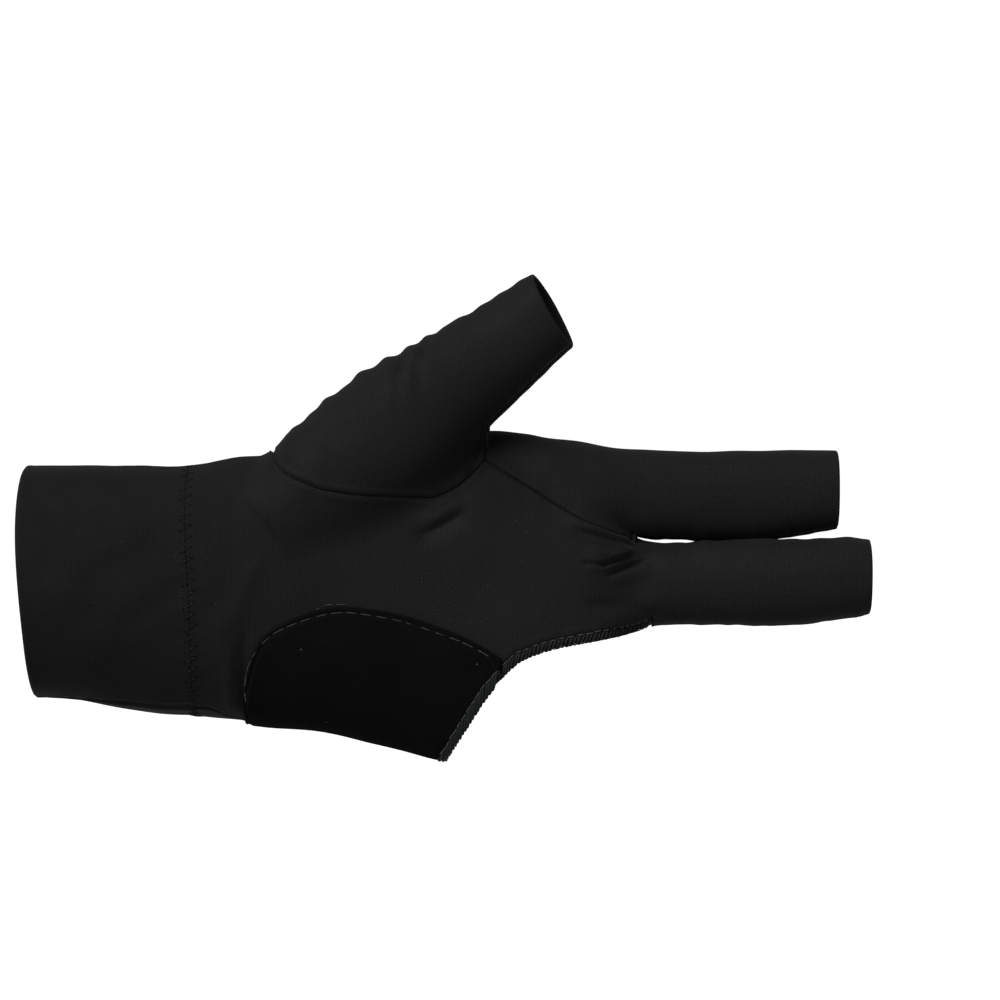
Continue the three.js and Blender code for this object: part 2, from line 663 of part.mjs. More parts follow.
function indexSleeve() {
  const start = THUMB_CROTCH + SEAM_GAP / 2;
  const places = [
    start,
    ...PANEL_STATIONS.filter((x) => x > start + SEAM_GAP && x < FINGER_CROTCH + SEAM_GAP),
    ...stations(FINGER_CROTCH, FINGER_CROTCH + INDEX_LENGTH).slice(1),
  ];
  const seam = SLEEVE_SEAM_TURN + GAP_TURN;
  const grid = places.map((x) => {
    const height = seamHeight(Math.max(x, start), 1);
    const low = angleAt(indexPoint, x, height, 0, 180);
    const back = angleAt(indexBack, x, height, 0, 180);
    const open = ramp((x - FINGER_CROTCH) / PART_WAY);
    const past = x > FINGER_CROTCH + SEAM_GAP;
    const from = past ? seam : low;
    const to = past ? mix(360 - back, 360 + SLEEVE_SEAM_TURN - GAP_TURN, open) : 360 - back;
    return indexRow(x, from, to, INDEX_ROUND);
  });
  return shell("index_sleeve", CLOTH_COLOUR, lifted(grid, 0), lifted(grid, -CLOTH_WALL));
}

// The thumb's sleeve. Its rows run from the outer seam to the base seam, and past the crotch to the inner seam.
const CROTCH_S = thumbS(...CROTCH);
const CORNER_S = thumbS(CORNER, edgeAt(THUMB_SEAM, CORNER));
const thumbApart = (s) => {
  const off = PART_OFF * ramp((s - CROTCH_S) / PART_WAY);
  return { ...TOGETHER, hand: off, index: off, middle: off };
};

// Ends of the thumb's rows on its base seam, half a gap inside it, at the palm's own stations and then up to the crotch.
function thumbBase() {
  const seam = PANEL_STATIONS.filter((x) => x > CORNER && x < THUMB_CROTCH).map((x) => {
    const slope = slopeOf(THUMB_SEAM, x);
    const off = SEAM_GAP / 2 / Math.hypot(1, slope);
    return [x - slope * off, edgeAt(THUMB_SEAM, x) + off];
  });
  const top = edgeAt(THUMB_SEAM, THUMB_CROTCH) + SEAM_GAP;
  const rise = stations(top, CROTCH[1]).map((z) => [THUMB_CROTCH - SEAM_GAP / 2, z]);
  return [...seam, ...rise];
}

// Height of the gathers along the thumb's outer seam.
function puckers(x, z) {
  const [s, w] = [thumbS(x, z), thumbW(x, z)];
  const aside = w + thumbSection(s).half;
  let height = 0;
  PUCKERS.along.forEach((along, i) => {
    const from = (s - along * THUMB_LENGTH + aside * PUCKERS.slant[i]) / (PUCKERS.wide[i] * THUMB_LENGTH);
    height += PUCKERS.lift[i] * Math.exp(-(from ** 2) - (aside / (PUCKERS.far[i] * THUMB_HEIGHT)) ** 2);
  });
  return height * PUCKER_HEIGHT;
}
const thumbRelief = ([x, , z]) => puckers(x, z);

// One row of a half of the sleeve on the hand: from the outer seam to a place on the base seam. Share is how far along
// the base seam the row is.
function thumbBaseRow(side, end, share) {
  const s = mix(CORNER_S, CROTCH_S, share);
  const { half, forward } = thumbSection(s);
  const start = thumbPoint(s, -half);
  const long = Math.hypot(end[0] - start[0], end[1] - start[1]);
  const way = [(end[0] - start[0]) / long, (end[1] - start[1]) / long];
  const centre = [(start[0] + end[0]) / 2, forward * ramp(share * THUMB_SETTLE), (start[1] + end[1]) / 2];
  const past = (x, z) => (x - end[0]) * way[0] + (z - end[1]) * way[1];
  const apart = { ...TOGETHER, past };
  const pointAt = (angle) => {
    const [c, d] = [Math.cos(angle * RADIAN), Math.sin(angle * RADIAN)];
    return reach(centre, [-c * way[0], -side * d, -c * way[1]], apart);
  };
  const toEnd = (_, angle) => {
    const [x, , z] = pointAt(angle);
    return [0, 0, past(x, z)];
  };
  const stop = share < 1 ? angleAt(toEnd, 0, -END_NEAR, GAP_TURN, 180 - GAP_TURN) : thumbInner(side);
  return skinRow(pointAt, apart, GAP_TURN, stop, THUMB_ROUND, thumbRelief);
}

// One row round a half of the sleeve past the crotch, which leans more and more towards the slanted opening.
function thumbTubeRow(side, share) {
  const pointAt = (angle) => {
    const [c, d] = [Math.cos(angle * RADIAN), Math.sin(angle * RADIAN)];
    const s = mix(CROTCH_S, THUMB_LENGTH + THUMB_SLANT * c - THUMB_LEAN * side * d, share);
    const [x, z] = thumbPoint(s, 0);
    const way = [-c * ALONG_THUMB[1], -side * d, c * ALONG_THUMB[0]];
    return reach([x, thumbSection(s).forward, z], way, thumbApart(s));
  };
  const apart = thumbApart(mix(CROTCH_S, THUMB_LENGTH, share));
  return skinRow(pointAt, apart, GAP_TURN, thumbInner(side), THUMB_ROUND, thumbRelief);
}

// Angle of the inner seam, from the outer one.
const thumbInner = (side) => 180 - side * SLEEVE_SEAM_TURN - GAP_TURN;

// One half of the sleeve: side is 1 on the palm and -1 on the back.
function thumbHalf(name, side) {
  const base = thumbBase();
  const run = [0];
  for (let i = 1; i < base.length; i += 1) {
    run.push(run[i - 1] + Math.hypot(base[i][0] - base[i - 1][0], base[i][1] - base[i - 1][1]));
  }
  const onHand = base.map((end, i) => thumbBaseRow(side, end, run[i] / run.at(-1)));
  const onThumb = stations(0, 1, THUMB_STEP / (THUMB_LENGTH - CROTCH_S)).slice(1);
  const grid = [...onHand, ...onThumb.map((share) => thumbTubeRow(side, share))];
  return shell(name, CLOTH_COLOUR, lifted(grid, 0), lifted(grid, -CLOTH_WALL));
}

const group = new THREE.Group();
group.add(cuff(), palmPanel(), backPanel(), heelPatch(), indexSleeve());
group.add(thumbHalf("thumb_palm_half", 1), thumbHalf("thumb_back_half", -1));
group.add(hem("patch_hem", HEM_START, PATCH_END, palmHemAngles, SEAM_GAP + PATCH_WALL));
group.add(hem("palm_hem", PATCH_END + SEAM_GAP, CUT_END, palmHemAngles, HEM_PROUD));
group.add(hem("back_hem", HEM_START, CUT_END, backHemAngles, HEM_PROUD));
export default group;
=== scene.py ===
"""A worn three-finger billiard glove of thin stretch cloth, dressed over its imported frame.

The wrist mouth is centred on the origin, +X runs along the fingers, the palm faces -Y and the thumb side is
+Z. Shapes are worked out in millimetres and put into the meshes in metres.
"""

import bpy
import numpy as np
from bpy.props import FloatProperty, FloatVectorProperty, PointerProperty
from bpy.types import Operator, Panel, PropertyGroup
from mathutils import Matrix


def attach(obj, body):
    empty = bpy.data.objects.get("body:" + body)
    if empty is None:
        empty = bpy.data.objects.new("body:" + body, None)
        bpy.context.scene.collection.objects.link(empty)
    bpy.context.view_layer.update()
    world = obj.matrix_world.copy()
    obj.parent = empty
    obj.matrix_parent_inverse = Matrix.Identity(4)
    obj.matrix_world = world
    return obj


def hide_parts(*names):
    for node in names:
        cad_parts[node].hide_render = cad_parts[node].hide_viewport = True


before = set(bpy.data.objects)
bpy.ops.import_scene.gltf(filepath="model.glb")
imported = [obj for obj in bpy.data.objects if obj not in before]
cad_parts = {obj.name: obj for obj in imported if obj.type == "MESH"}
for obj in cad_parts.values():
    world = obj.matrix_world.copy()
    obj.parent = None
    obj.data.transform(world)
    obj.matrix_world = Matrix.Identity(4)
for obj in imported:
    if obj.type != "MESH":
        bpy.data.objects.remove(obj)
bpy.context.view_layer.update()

bl_info = {
    "name": "Billiard glove",
    "version": (1, 0, 0),
    "blender": (4, 5, 0),
    "location": "3D View > Sidebar > Glove",
    "description": "Builds a worn three-finger billiard glove of stretch cloth over its packed frame",
    "category": "Add Mesh",
}

MM = 0.001
UV_UNIT = 10  # Millimetres of cloth for each unit of its UVs.
RADIAN = np.pi / 180

# Cuff and hand, in millimetres.
CUFF_LENGTH = 36.6
MOUTH_HEIGHT = 53
MOUTH_DEPTH = 40
MOUTH_SLANT = 2.3
MOUTH_BOW = 1.2
WRIST_HEIGHT = 57
WRIST_DEPTH = 36
HAND_LENGTH = 102
HAND_HEIGHT = 74
HAND_DEPTH = 28

# Finger sleeves.
INDEX_LENGTH = 47
INDEX_HEIGHT = 20.8
INDEX_DEPTH = 19
MIDDLE_LENGTH = 54.1
MIDDLE_HEIGHT = 19.6
MIDDLE_DEPTH = 18.6
THUMB_LENGTH = 80
THUMB_HEIGHT = 30
THUMB_DEPTH = 30
THUMB_ANGLE = 38
THUMB_SLANT = 1.4
THUMB_LEAN = 1.3

# Cloth.
CLOTH_WALL = 1.0
CUFF_WALL = 2.0
PATCH_WALL = 1.2
PATCH_LIFT = 0.06
HEM_WALL = 1.8
HEM_WIDTH = 1.8
HEM_PROUD = 0.3
SEAM_GAP = 0.02
SEAM_TURN = 5
LOW_SEAM_SWAY = 10
HIGH_SEAM_SWAY = 6
LOW_SWAY_WAY = (-8, 36, 39, 13)
HIGH_SWAY_WAY = (12, 26, 40, 16)
SLEEVE_SEAM_TURN = 20
SEAM_DRIFT = 1.5

# How softly one round form runs into the next.
FOLD_HEIGHT = 1
PUCKER_HEIGHT = 0.9
TOUCH_SWELL = 0.5
TOUCH_WAY = (150.5, 4, 166, 11)
CROWN_AT = 121
CROWN_WIDE = 6.5
CROWN_SWELL = 0.95
FINGER_BLEND = 5
THUMB_BLEND = 4
CROTCH_BLEND = 14
CROTCH_CREASE = 0.6
CREASE_WAY = 18
CREASE_TOP = 11
CREASE_FADE = 9
CREASE_NEAR = 3
PART_WAY = 4
SEAM_WAY = 9
PART_OFF = 25
OVAL_POWER = 2.3
SPINE_SHARE = 0.62
SPINE_OVER_CUT = 0.4
SIDE_FADE = 1.6
FOLD_EVEN = 0.35
FOLD_TAPER = 6
THUMB_SETTLE = 3
THUMB_BACK_OFF = 7
BACK_OFF_WAY = (0.55, 0.15, 0.88, 0.12)

# Search for the skin along a ray.
RAY_STEP = 0.8
SHORT_STEP = RAY_STEP / 5
RAY_END = 90
RAY_HALVINGS = 14
ANGLE_HALVINGS = 15
NEAR = 0.2
END_NEAR = 0.02
CURVE_SAMPLES = 6001
CURVE_PAST = 1.5
ROW_SAMPLES = 150


def smooth(at, values, place):
    """Curve through a column's rows. Each stretch is a cubic whose slope at a row is the harmonic mean of
    the slopes on either side, or nothing where they differ in sign, and it runs on straight past the ends."""
    step = np.diff(values) / np.diff(at)
    before, after = step[:-1], step[1:]
    same = before * after > 0
    inner = np.where(same, 2 * before * after / np.where(same, before + after, 1), 0)
    slope = np.concatenate([step[:1], inner, step[-1:]])
    i = np.clip(np.searchsorted(at, place) - 1, 0, len(at) - 2)
    width = at[i + 1] - at[i]
    t = np.clip((place - at[i]) / width, 0, 1)
    inside = (
        values[i] * (2 * t**3 - 3 * t**2 + 1)
        + values[i + 1] * (3 * t**2 - 2 * t**3)
        + slope[i] * width * (t**3 - 2 * t**2 + t)
        + slope[i + 1] * width * (t**3 - t**2)
    )
    return inside + slope[0] * np.minimum(place - at[0], 0) + slope[-1] * np.maximum(place - at[-1], 0)


def evened_out(values, count):
    """Running mean over a count of samples, taken twice, with the ends carried on straight."""
    for _ in range(2):
        before = 2 * values[0] - values[count:0:-1]
        after = 2 * values[-1] - values[-2 : -count - 2 : -1]
        window = np.ones(2 * count + 1) / (2 * count + 1)
        values = np.convolve(np.concatenate([before, values, after]), window, "valid")
    return values


class Rows:
    """Table with a first column of places and smooth curves through its other, named columns."""

    def __init__(self, columns, rows, soft=0):
        rows = np.array(rows, float)
        self.first, self.last = rows[0, 0], rows[-1, 0]
        self.at = np.linspace(self.first - CURVE_PAST, self.last + CURVE_PAST, CURVE_SAMPLES)
        self.curves = {name: smooth(rows[:, 0], rows[:, i], self.at) for i, name in enumerate(columns) if i}
        if soft:
            count = round(soft / (self.at[1] - self.at[0]))
            self.curves = {name: evened_out(values, count) for name, values in self.curves.items()}

    def __call__(self, name, place):
        return np.interp(place, self.at, self.curves[name])


HAND_ROWS = Rows(
    ["along", "top", "bottom", "palm", "back"],
    [
        [0.0, 0.464, -0.541, 0.52, 0.49],
        [0.13, 0.484, -0.543, 0.5, 0.47],
        [0.27, 0.474, -0.543, 0.51, 0.46],
        [0.42, 0.447, -0.57, 0.5, 0.46],
        [0.57, 0.448, -0.611, 0.48, 0.465],
        [0.67, 0.504, -0.62, 0.48, 0.465],
        [0.75, 0.482, -0.595, 0.485, 0.465],
        [0.83, 0.441, -0.562, 0.49, 0.47],
        [0.92, 0.405, -0.52, 0.49, 0.47],
        [1.0, 0.355, -0.473, 0.48, 0.46],
    ],
)
FINGER_COLUMNS = ["along", "middle", "half", "forward", "deep"]
INDEX_ROWS = Rows(
    FINGER_COLUMNS,
    [
        [-0.72, 0.8, 0.36, 0.0, 0.38],
        [-0.3, 0.925, 0.46, 0.0, 0.46],
        [0.0, 0.955, 0.499, 0.03, 0.49],
        [0.27, 0.945, 0.493, 0.08, 0.495],
        [0.53, 0.947, 0.495, 0.12, 0.5],
        [0.78, 0.968, 0.483, 0.14, 0.49],
        [1.0, 1.01, 0.438, 0.14, 0.46],
    ],
)
MIDDLE_ROWS = Rows(
    FINGER_COLUMNS,
    [
        [-0.62, -0.1, 0.38, 0.0, 0.38],
        [-0.2, -0.07, 0.46, 0.0, 0.46],
        [0.0, -0.055, 0.51, -0.02, 0.49],
        [0.11, -0.03, 0.485, -0.04, 0.49],
        [0.26, -0.03, 0.48, -0.06, 0.485],
        [0.53, -0.025, 0.5, -0.08, 0.5],
        [0.73, 0.0, 0.5, -0.09, 0.49],
        [0.9, 0.035, 0.475, -0.09, 0.47],
        [1.0, 0.05, 0.44, -0.09, 0.45],
    ],
)
THUMB_ROWS = Rows(
    FINGER_COLUMNS,
    [
        [0.0, 0.0, 0.3, -0.2, 0.36],
        [0.12, 0.0, 0.435, -0.21, 0.41],
        [0.25, 0.0, 0.495, -0.22, 0.43],
        [0.44, 0.0, 0.498, -0.23, 0.42],
        [0.59, 0.0, 0.438, -0.23, 0.37],
        [0.69, 0.0, 0.401, -0.23, 0.335],
        [0.83, 0.0, 0.358, -0.23, 0.3],
        [1.0, 0.0, 0.315, -0.23, 0.28],
    ],
)
THUMB_ROOT = (0.199, 0.174)
THUMB_CROTCH_UP = 0.474

# Seams and edges as seen from the palm, in shares of the hand's length past the cuff and of its height.
EDGE_COLUMNS = ["along", "up"]
THUMB_SEAM = Rows(
    EDGE_COLUMNS,
    [
        [0.191, 0.402],
        [0.208, 0.352],
        [0.256, 0.31],
        [0.323, 0.277],
        [0.422, 0.261],
        [0.541, 0.258],
        [0.599, 0.292],
        [0.647, 0.351],
        [0.666, 0.376],
    ],
)
INDEX_SEAM = Rows(
    EDGE_COLUMNS,
    [
        [0.666, 0.376],
        [0.7, 0.345],
        [0.766, 0.288],
        [0.826, 0.235],
        [0.886, 0.188],
        [0.939, 0.157],
        [1.0, 0.124],
    ],
)
CUT_OUT = Rows(
    EDGE_COLUMNS,
    [
        [0.57, -0.562],
        [0.622, -0.447],
        [0.673, -0.341],
        [0.718, -0.272],
        [0.747, -0.24],
        [0.818, -0.204],
        [0.92, -0.177],
        [1.0, -0.156],
        [1.04, -0.136],
    ],
)
PATCH_EDGE = Rows(
    EDGE_COLUMNS,
    [
        [0.125, -0.32],
        [0.137, -0.24],
        [0.158, -0.185],
        [0.188, -0.145],
        [0.22, -0.121],
        [0.269, -0.094],
        [0.322, -0.073],
        [0.36, -0.072],
        [0.397, -0.077],
        [0.473, -0.094],
        [0.559, -0.132],
        [0.635, -0.175],
        [0.7, -0.229],
    ],
    soft=0.022,
)

# Folds as seen from the palm: both ends, the half width in shares of the hand's height, and the height in
# millimetres, negative for a hollow. The broad ones come first and then the fine creases.
FOLDS = np.array(
    [
        [-0.29, -0.06, -0.09, 0.1, 0.09, 1.0],
        [-0.21, -0.19, -0.02, -0.03, 0.08, 0.9],
        [0.078, -0.1, 0.108, -0.4, 0.045, 0.7],
        [0.52, 0.14, 0.61, 0.21, 0.03, -0.8],
        [0.54, 0.19, 0.6, 0.25, 0.028, 0.7],
        [0.85, 0.19, 0.98, 0.11, 0.028, 0.9],
        [0.9, 0.06, 0.99, 0.1, 0.028, 0.8],
        [0.94, 0.03, 1.0, 0.06, 0.022, -0.2],
        [0.93, -0.13, 1.05, -0.06, 0.04, 0.7],
        [0.3, 0.02, 0.7, 0.02, 0.2, -1.6],
        [-0.222, 0.001, -0.064, 0.117, 0.05, -0.6],
        [-0.142, -0.146, 0.009, -0.005, 0.045, -0.6],
        [0.136, -0.15, 0.123, -0.38, 0.014, -0.5],
        [0.1, -0.2, 0.096, -0.39, 0.012, 0.35],
        [0.16, 0.068, 0.111, -0.115, 0.03, 0.4],
        [0.528, 0.15, 0.606, 0.208, 0.009, -0.3],
        [0.532, 0.169, 0.614, 0.233, 0.014, 0.25],
        [0.543, 0.206, 0.596, 0.25, 0.009, -0.2],
        [0.89, 0.172, 0.985, 0.127, 0.012, 0.25],
        [0.88, 0.155, 0.994, 0.106, 0.01, -0.6],
        [0.89, 0.1, 0.985, 0.078, 0.016, 0.35],
        [0.883, 0.059, 0.938, 0.05, 0.009, -0.55],
        [0.925, 0.052, 0.99, 0.08, 0.007, -0.6],
        [0.93, 0.042, 1.0, 0.068, 0.007, 0.35],
        [0.938, 0.078, 1.009, 0.093, 0.012, 0.3],
        [0.94, 0.018, 1.027, 0.068, 0.007, -0.55],
        [0.95, 0.0, 1.03, 0.045, 0.02, 0.3],
        [0.894, -0.069, 1.018, -0.081, 0.02, -0.4],
        [1.016, -0.088, 1.062, -0.124, 0.012, -0.4],
        [0.65, 0.435, 0.641, 0.35, 0.008, -0.45],
        [0.661, 0.42, 0.652, 0.337, 0.007, 0.3],
        [0.628, 0.398, 0.632, 0.325, 0.009, -0.4],
        [0.543, 0.762, 0.53, 0.691, 0.012, -0.7],
        [0.52, 0.74, 0.507, 0.68, 0.014, 0.35],
        [0.488, 0.695, 0.478, 0.645, 0.011, -0.6],
        [0.45, 0.71, 0.436, 0.664, 0.011, -0.5],
    ]
)

# Gathers along the thumb's outer seam: along and half width in shares of its length, how far in they run in
# shares of its height, how much they lean as they run in, and their height as a share of the pucker height.
PUCKERS = np.array(
    [
        [0.19, 0.04, 0.2, 0.3, 0.7],
        [0.33, 0.045, 0.22, 0.3, 0.9],
        [0.45, 0.035, 0.2, 0.4, 0.9],
        [0.54, 0.026, 0.3, 0.6, 1.0],
        [0.61, 0.022, 0.3, 0.7, 0.9],
        [0.67, 0.02, 0.2, 0.6, 0.8],
        [0.75, 0.03, 0.16, 0.3, 0.5],
    ]
)

# The patch's running stitches as seen from the palm, and a second short run that stands outside its edge.
PATCH_STITCHES = np.array(
    [
        [0.142, -0.409],
        [0.133, -0.36],
        [0.132, -0.314],
        [0.138, -0.262],
        [0.15, -0.225],
        [0.171, -0.187],
        [0.193, -0.158],
        [0.218, -0.14],
        [0.257, -0.118],
        [0.3, -0.101],
        [0.34, -0.091],
        [0.367, -0.091],
        [0.415, -0.101],
        [0.465, -0.113],
        [0.51, -0.13],
        [0.557, -0.154],
        [0.592, -0.17],
        [0.628, -0.19],
        [0.668, -0.219],
        [0.694, -0.246],
    ]
)
SECOND_RUN = np.array([[0.282, -0.095], [0.304, -0.075], [0.324, -0.068], [0.361, -0.068], [0.369, -0.082]])

FINGER_CROTCH = CUFF_LENGTH + HAND_LENGTH


def along_hand(share):
    return CUFF_LENGTH + share * HAND_LENGTH


def mix(a, b, t):
    return a + (b - a) * t


def ramp(t):
    """Smooth step: 3t squared less 2t cubed, between 0 and 1."""
    t = np.clip(t, 0, 1)
    return t * t * (3 - 2 * t)


def between(x, rise, rise_way, fall, fall_way):
    """Share that rises smoothly from 0 to 1 past one place and falls back to 0 past another."""
    return ramp((x - rise) / rise_way) * (1 - ramp((x - fall) / fall_way))


def edge_at(edge, x):
    """Height in millimetres of a seam or an edge at places along X."""
    return HAND_HEIGHT * edge("up", (x - CUFF_LENGTH) / HAND_LENGTH)


def slope_of(edge, x):
    return (edge_at(edge, x + NEAR) - edge_at(edge, x - NEAR)) / NEAR / 2


def steepness(edge, x):
    """How much further apart two lines are along Z than across, where the line between them slopes."""
    return np.hypot(1, slope_of(edge, x))


def oval(y, z, palm, back, half):
    """Rough distance to an oval tube: the size of (y / reach, z / half) under a power a little over 2,
    less 1."""
    across = np.abs(y) / np.where(y < 0, palm, back)
    size = (across**OVAL_POWER + (np.abs(z) / half) ** OVAL_POWER) ** (1 / OVAL_POWER)
    return (size - 1) * np.minimum(np.minimum(palm, back), half)


def blend(a, b, k):
    """Lesser of two distances, rounded where they are within k of each other."""
    near = np.maximum(k - np.abs(a - b), 0) / k
    return np.minimum(a, b) - near * near * k / 4


def hand_section(x):
    """Top, bottom, palm and back of the cuff and the hand, which run into the mouth's own oval over the
    cuff."""
    place = np.clip((x - CUFF_LENGTH) / HAND_LENGTH, 0, 1.1)
    height = mix(WRIST_HEIGHT, HAND_HEIGHT, place)
    depth = mix(WRIST_DEPTH, HAND_DEPTH, place)
    to_mouth = ramp(1 - x / CUFF_LENGTH)
    top = mix(height * HAND_ROWS("top", place), MOUTH_HEIGHT / 2, to_mouth)
    bottom = mix(height * HAND_ROWS("bottom", place), -MOUTH_HEIGHT / 2, to_mouth)
    palm = mix(depth * HAND_ROWS("palm", place), MOUTH_DEPTH / 2, to_mouth)
    back = mix(depth * HAND_ROWS("back", place), MOUTH_DEPTH / 2, to_mouth)
    return top, bottom, palm, back


def hand_form(x, y, z):
    top, bottom, palm, back = hand_section(x)
    tube = oval(y, z - (top + bottom) / 2, palm, back, (top - bottom) / 2)
    return -blend(-tube, FINGER_CROTCH - x, CROTCH_BLEND)


def finger_section(rows, share, height, depth):
    place = np.clip(share, rows.first, 1.1)
    return (
        height * rows("middle", place),
        height * rows("half", place),
        depth * rows("forward", place),
        depth * rows("deep", place),
    )


def index_section(x):
    return finger_section(INDEX_ROWS, (x - FINGER_CROTCH) / INDEX_LENGTH, INDEX_HEIGHT, INDEX_DEPTH)


def middle_section(x):
    return finger_section(MIDDLE_ROWS, (x - FINGER_CROTCH) / MIDDLE_LENGTH, MIDDLE_HEIGHT, MIDDLE_DEPTH)


def thumb_section(s):
    return finger_section(THUMB_ROWS, s / THUMB_LENGTH, THUMB_HEIGHT, THUMB_DEPTH)


def finger_form(section, x, y, z, start):
    middle, half, forward, deep = section(x)
    return np.maximum(oval(y - forward, z - middle, deep, deep, half), start - x)


INDEX_START = FINGER_CROTCH + INDEX_ROWS.first * INDEX_LENGTH
MIDDLE_START = FINGER_CROTCH + MIDDLE_ROWS.first * MIDDLE_LENGTH

# The thumb's own directions: s along it and w across it, towards the index finger.
ALONG_THUMB = (np.cos(THUMB_ANGLE * RADIAN), np.sin(THUMB_ANGLE * RADIAN))
ROOT = (along_hand(THUMB_ROOT[0]), THUMB_ROOT[1] * HAND_HEIGHT)


def thumb_s(x, z):
    return (x - ROOT[0]) * ALONG_THUMB[0] + (z - ROOT[1]) * ALONG_THUMB[1]


def thumb_w(x, z):
    return (x - ROOT[0]) * ALONG_THUMB[1] - (z - ROOT[1]) * ALONG_THUMB[0]


def thumb_point(s, w):
    x = ROOT[0] + s * ALONG_THUMB[0] + w * ALONG_THUMB[1]
    return x, ROOT[1] + s * ALONG_THUMB[1] - w * ALONG_THUMB[0]


def thumb_form(x, y, z):
    s = thumb_s(x, z)
    _, half, forward, deep = thumb_section(s)
    return np.maximum(oval(y - forward, thumb_w(x, z), deep, deep, half), -s)


def skin(points, apart):
    """The glove's skin as one rounded form, negative inside: the blend of hand, middle finger, index
    finger and thumb. Apart holds how far each is taken out, and a slanting plane (two directions and an
    offset) past which a piece ends."""
    x, y, z = points.T
    hand_off, index_off, middle_off, thumb_off, past_x, past_z, past_off = apart.T
    hand = hand_form(x, y, z) + hand_off
    index = finger_form(index_section, x, y, z, INDEX_START) + index_off
    middle = finger_form(middle_section, x, y, z, MIDDLE_START) + middle_off
    near_crotch = ramp((x - FINGER_CROTCH) / CREASE_WAY + 1) * (1 - ramp((z - CREASE_TOP) / CREASE_FADE))
    parting = mix(FINGER_BLEND, CROTCH_CREASE, near_crotch)
    fingers = blend(blend(hand, middle, FINGER_BLEND), index, parting)
    whole = blend(fingers, thumb_form(x, y, z) + thumb_off, THUMB_BLEND)
    return np.maximum(whole, x * past_x + z * past_z - past_off)


def parted(shape, hand=0, index=0, middle=0, thumb=0, past_x=0, past_z=0, past=PART_OFF):
    """How far each form is taken out of the skin at every point of a grid."""
    values = [hand, index, middle, thumb, past_x, past_z, past]
    return np.stack([np.broadcast_to(value, shape) for value in values], axis=-1).astype(float)


THUMB_CROTCH = along_hand(THUMB_SEAM.last)
CROTCH = (THUMB_CROTCH, THUMB_CROTCH_UP * HAND_HEIGHT)
INDEX_CEILING = CROTCH[1] - SEAM_GAP


def past_crotch(x):
    return PART_OFF * ramp((x - FINGER_CROTCH) / PART_WAY)


def past_thumb(x):
    return PART_OFF * ramp((x - THUMB_CROTCH) / PART_WAY)


def hand_apart(x):
    return parted(x.shape, index=past_crotch(x), thumb=past_thumb(x))


def index_apart(x):
    return parted(x.shape, middle=past_crotch(x), thumb=past_thumb(x), past_z=1, past=INDEX_CEILING)


def reach(start, way, apart):
    """First place where each ray from inside leaves the skin: it steps out until the skin is passed and
    then halves the last step again and again. The steps are short near the fingers' crotch, where a crease
    is narrow."""
    shape = way.shape
    start = np.broadcast_to(start, shape).reshape(-1, 3)
    way = way.reshape(-1, 3)
    apart = apart.reshape(-1, 7)
    step = np.where(np.abs(start[:, 0] - FINGER_CROTCH) < CREASE_NEAR, SHORT_STEP, RAY_STEP)
    far = step.copy()
    live = np.arange(len(way))
    while live.size:
        inside = skin(start[live] + way[live] * far[live, None], apart[live]) < 0
        live = live[inside & (far[live] < RAY_END)]
        far[live] += step[live]
    near = far - step
    for _ in range(RAY_HALVINGS):
        half = (near + far) / 2
        inside = skin(start + way * half[:, None], apart) < 0
        near = np.where(inside, half, near)
        far = np.where(inside, far, half)
    return (start + way * near[:, None]).reshape(shape)


def outward(points, apart):
    """Unit normals: the skin's slope by differences along each axis."""
    flat, around = points.reshape(-1, 3), apart.reshape(-1, 7)
    steps = NEAR * np.eye(3)
    slope = np.stack([skin(flat + step, around) - skin(flat - step, around) for step in steps], axis=-1)
    return unit(slope).reshape(points.shape)


def unit(vectors):
    return vectors / np.maximum(np.linalg.norm(vectors, axis=-1, keepdims=True), 1e-9)


def run_along(points, axis):
    """Distance along one axis of a grid of points: the running sum of the steps between them."""
    steps = np.linalg.norm(np.diff(points, axis=axis), axis=-1)
    start = np.zeros_like(np.take(steps, [0], axis=axis))
    return np.concatenate([start, np.cumsum(steps, axis=axis)], axis=axis)


def spoke(angle):
    """Ray from a spine at an angle in degrees: 0 is down, 90 the palm, 180 up and 270 the back."""
    turn = angle * RADIAN
    return np.stack([np.zeros_like(turn), -np.sin(turn), -np.cos(turn)], axis=-1)


def hand_spine(x):
    """Middle line of the hand and of the middle finger, from which the rays start."""
    top, bottom, _, _ = hand_section(x)
    seam = edge_at(INDEX_SEAM, np.clip(x, THUMB_CROTCH, FINGER_CROTCH))
    palm = np.maximum(mix(bottom, top, SPINE_SHARE), mix(edge_at(CUT_OUT, x), seam, SPINE_OVER_CUT))
    t = ramp((x - THUMB_CROTCH) / (FINGER_CROTCH - THUMB_CROTCH))
    middle, _, forward, _ = middle_section(x)
    return np.stack([x, forward * t, mix(palm, middle, t)], axis=-1)


def index_spine(x):
    middle, _, forward, _ = index_section(x)
    return np.stack([x, forward, middle], axis=-1)


def hand_point(x, angle):
    return reach(hand_spine(x), spoke(angle), hand_apart(x))


def index_point(x, angle):
    return reach(index_spine(x), spoke(angle), index_apart(x))


def angle_at(height_of, target, low, high):
    """Angle between two limits where a height that rises from low to high meets its target, by halving."""
    a = np.zeros_like(target) + low
    b = np.zeros_like(target) + high
    for _ in range(ANGLE_HALVINGS):
        half = (a + b) / 2
        under = height_of(half) < target
        a = np.where(under, half, a)
        b = np.where(under, b, half)
    return (a + b) / 2


def palm_angle(x, height):
    return angle_at(lambda angle: hand_point(x, angle)[..., 2], height, 0, 180)


def back_angle(x, height):
    return 360 - angle_at(lambda angle: hand_point(x, 360 - angle)[..., 2], height, 0, 180)


GAP_TURN = SEAM_GAP / MIDDLE_HEIGHT / RADIAN


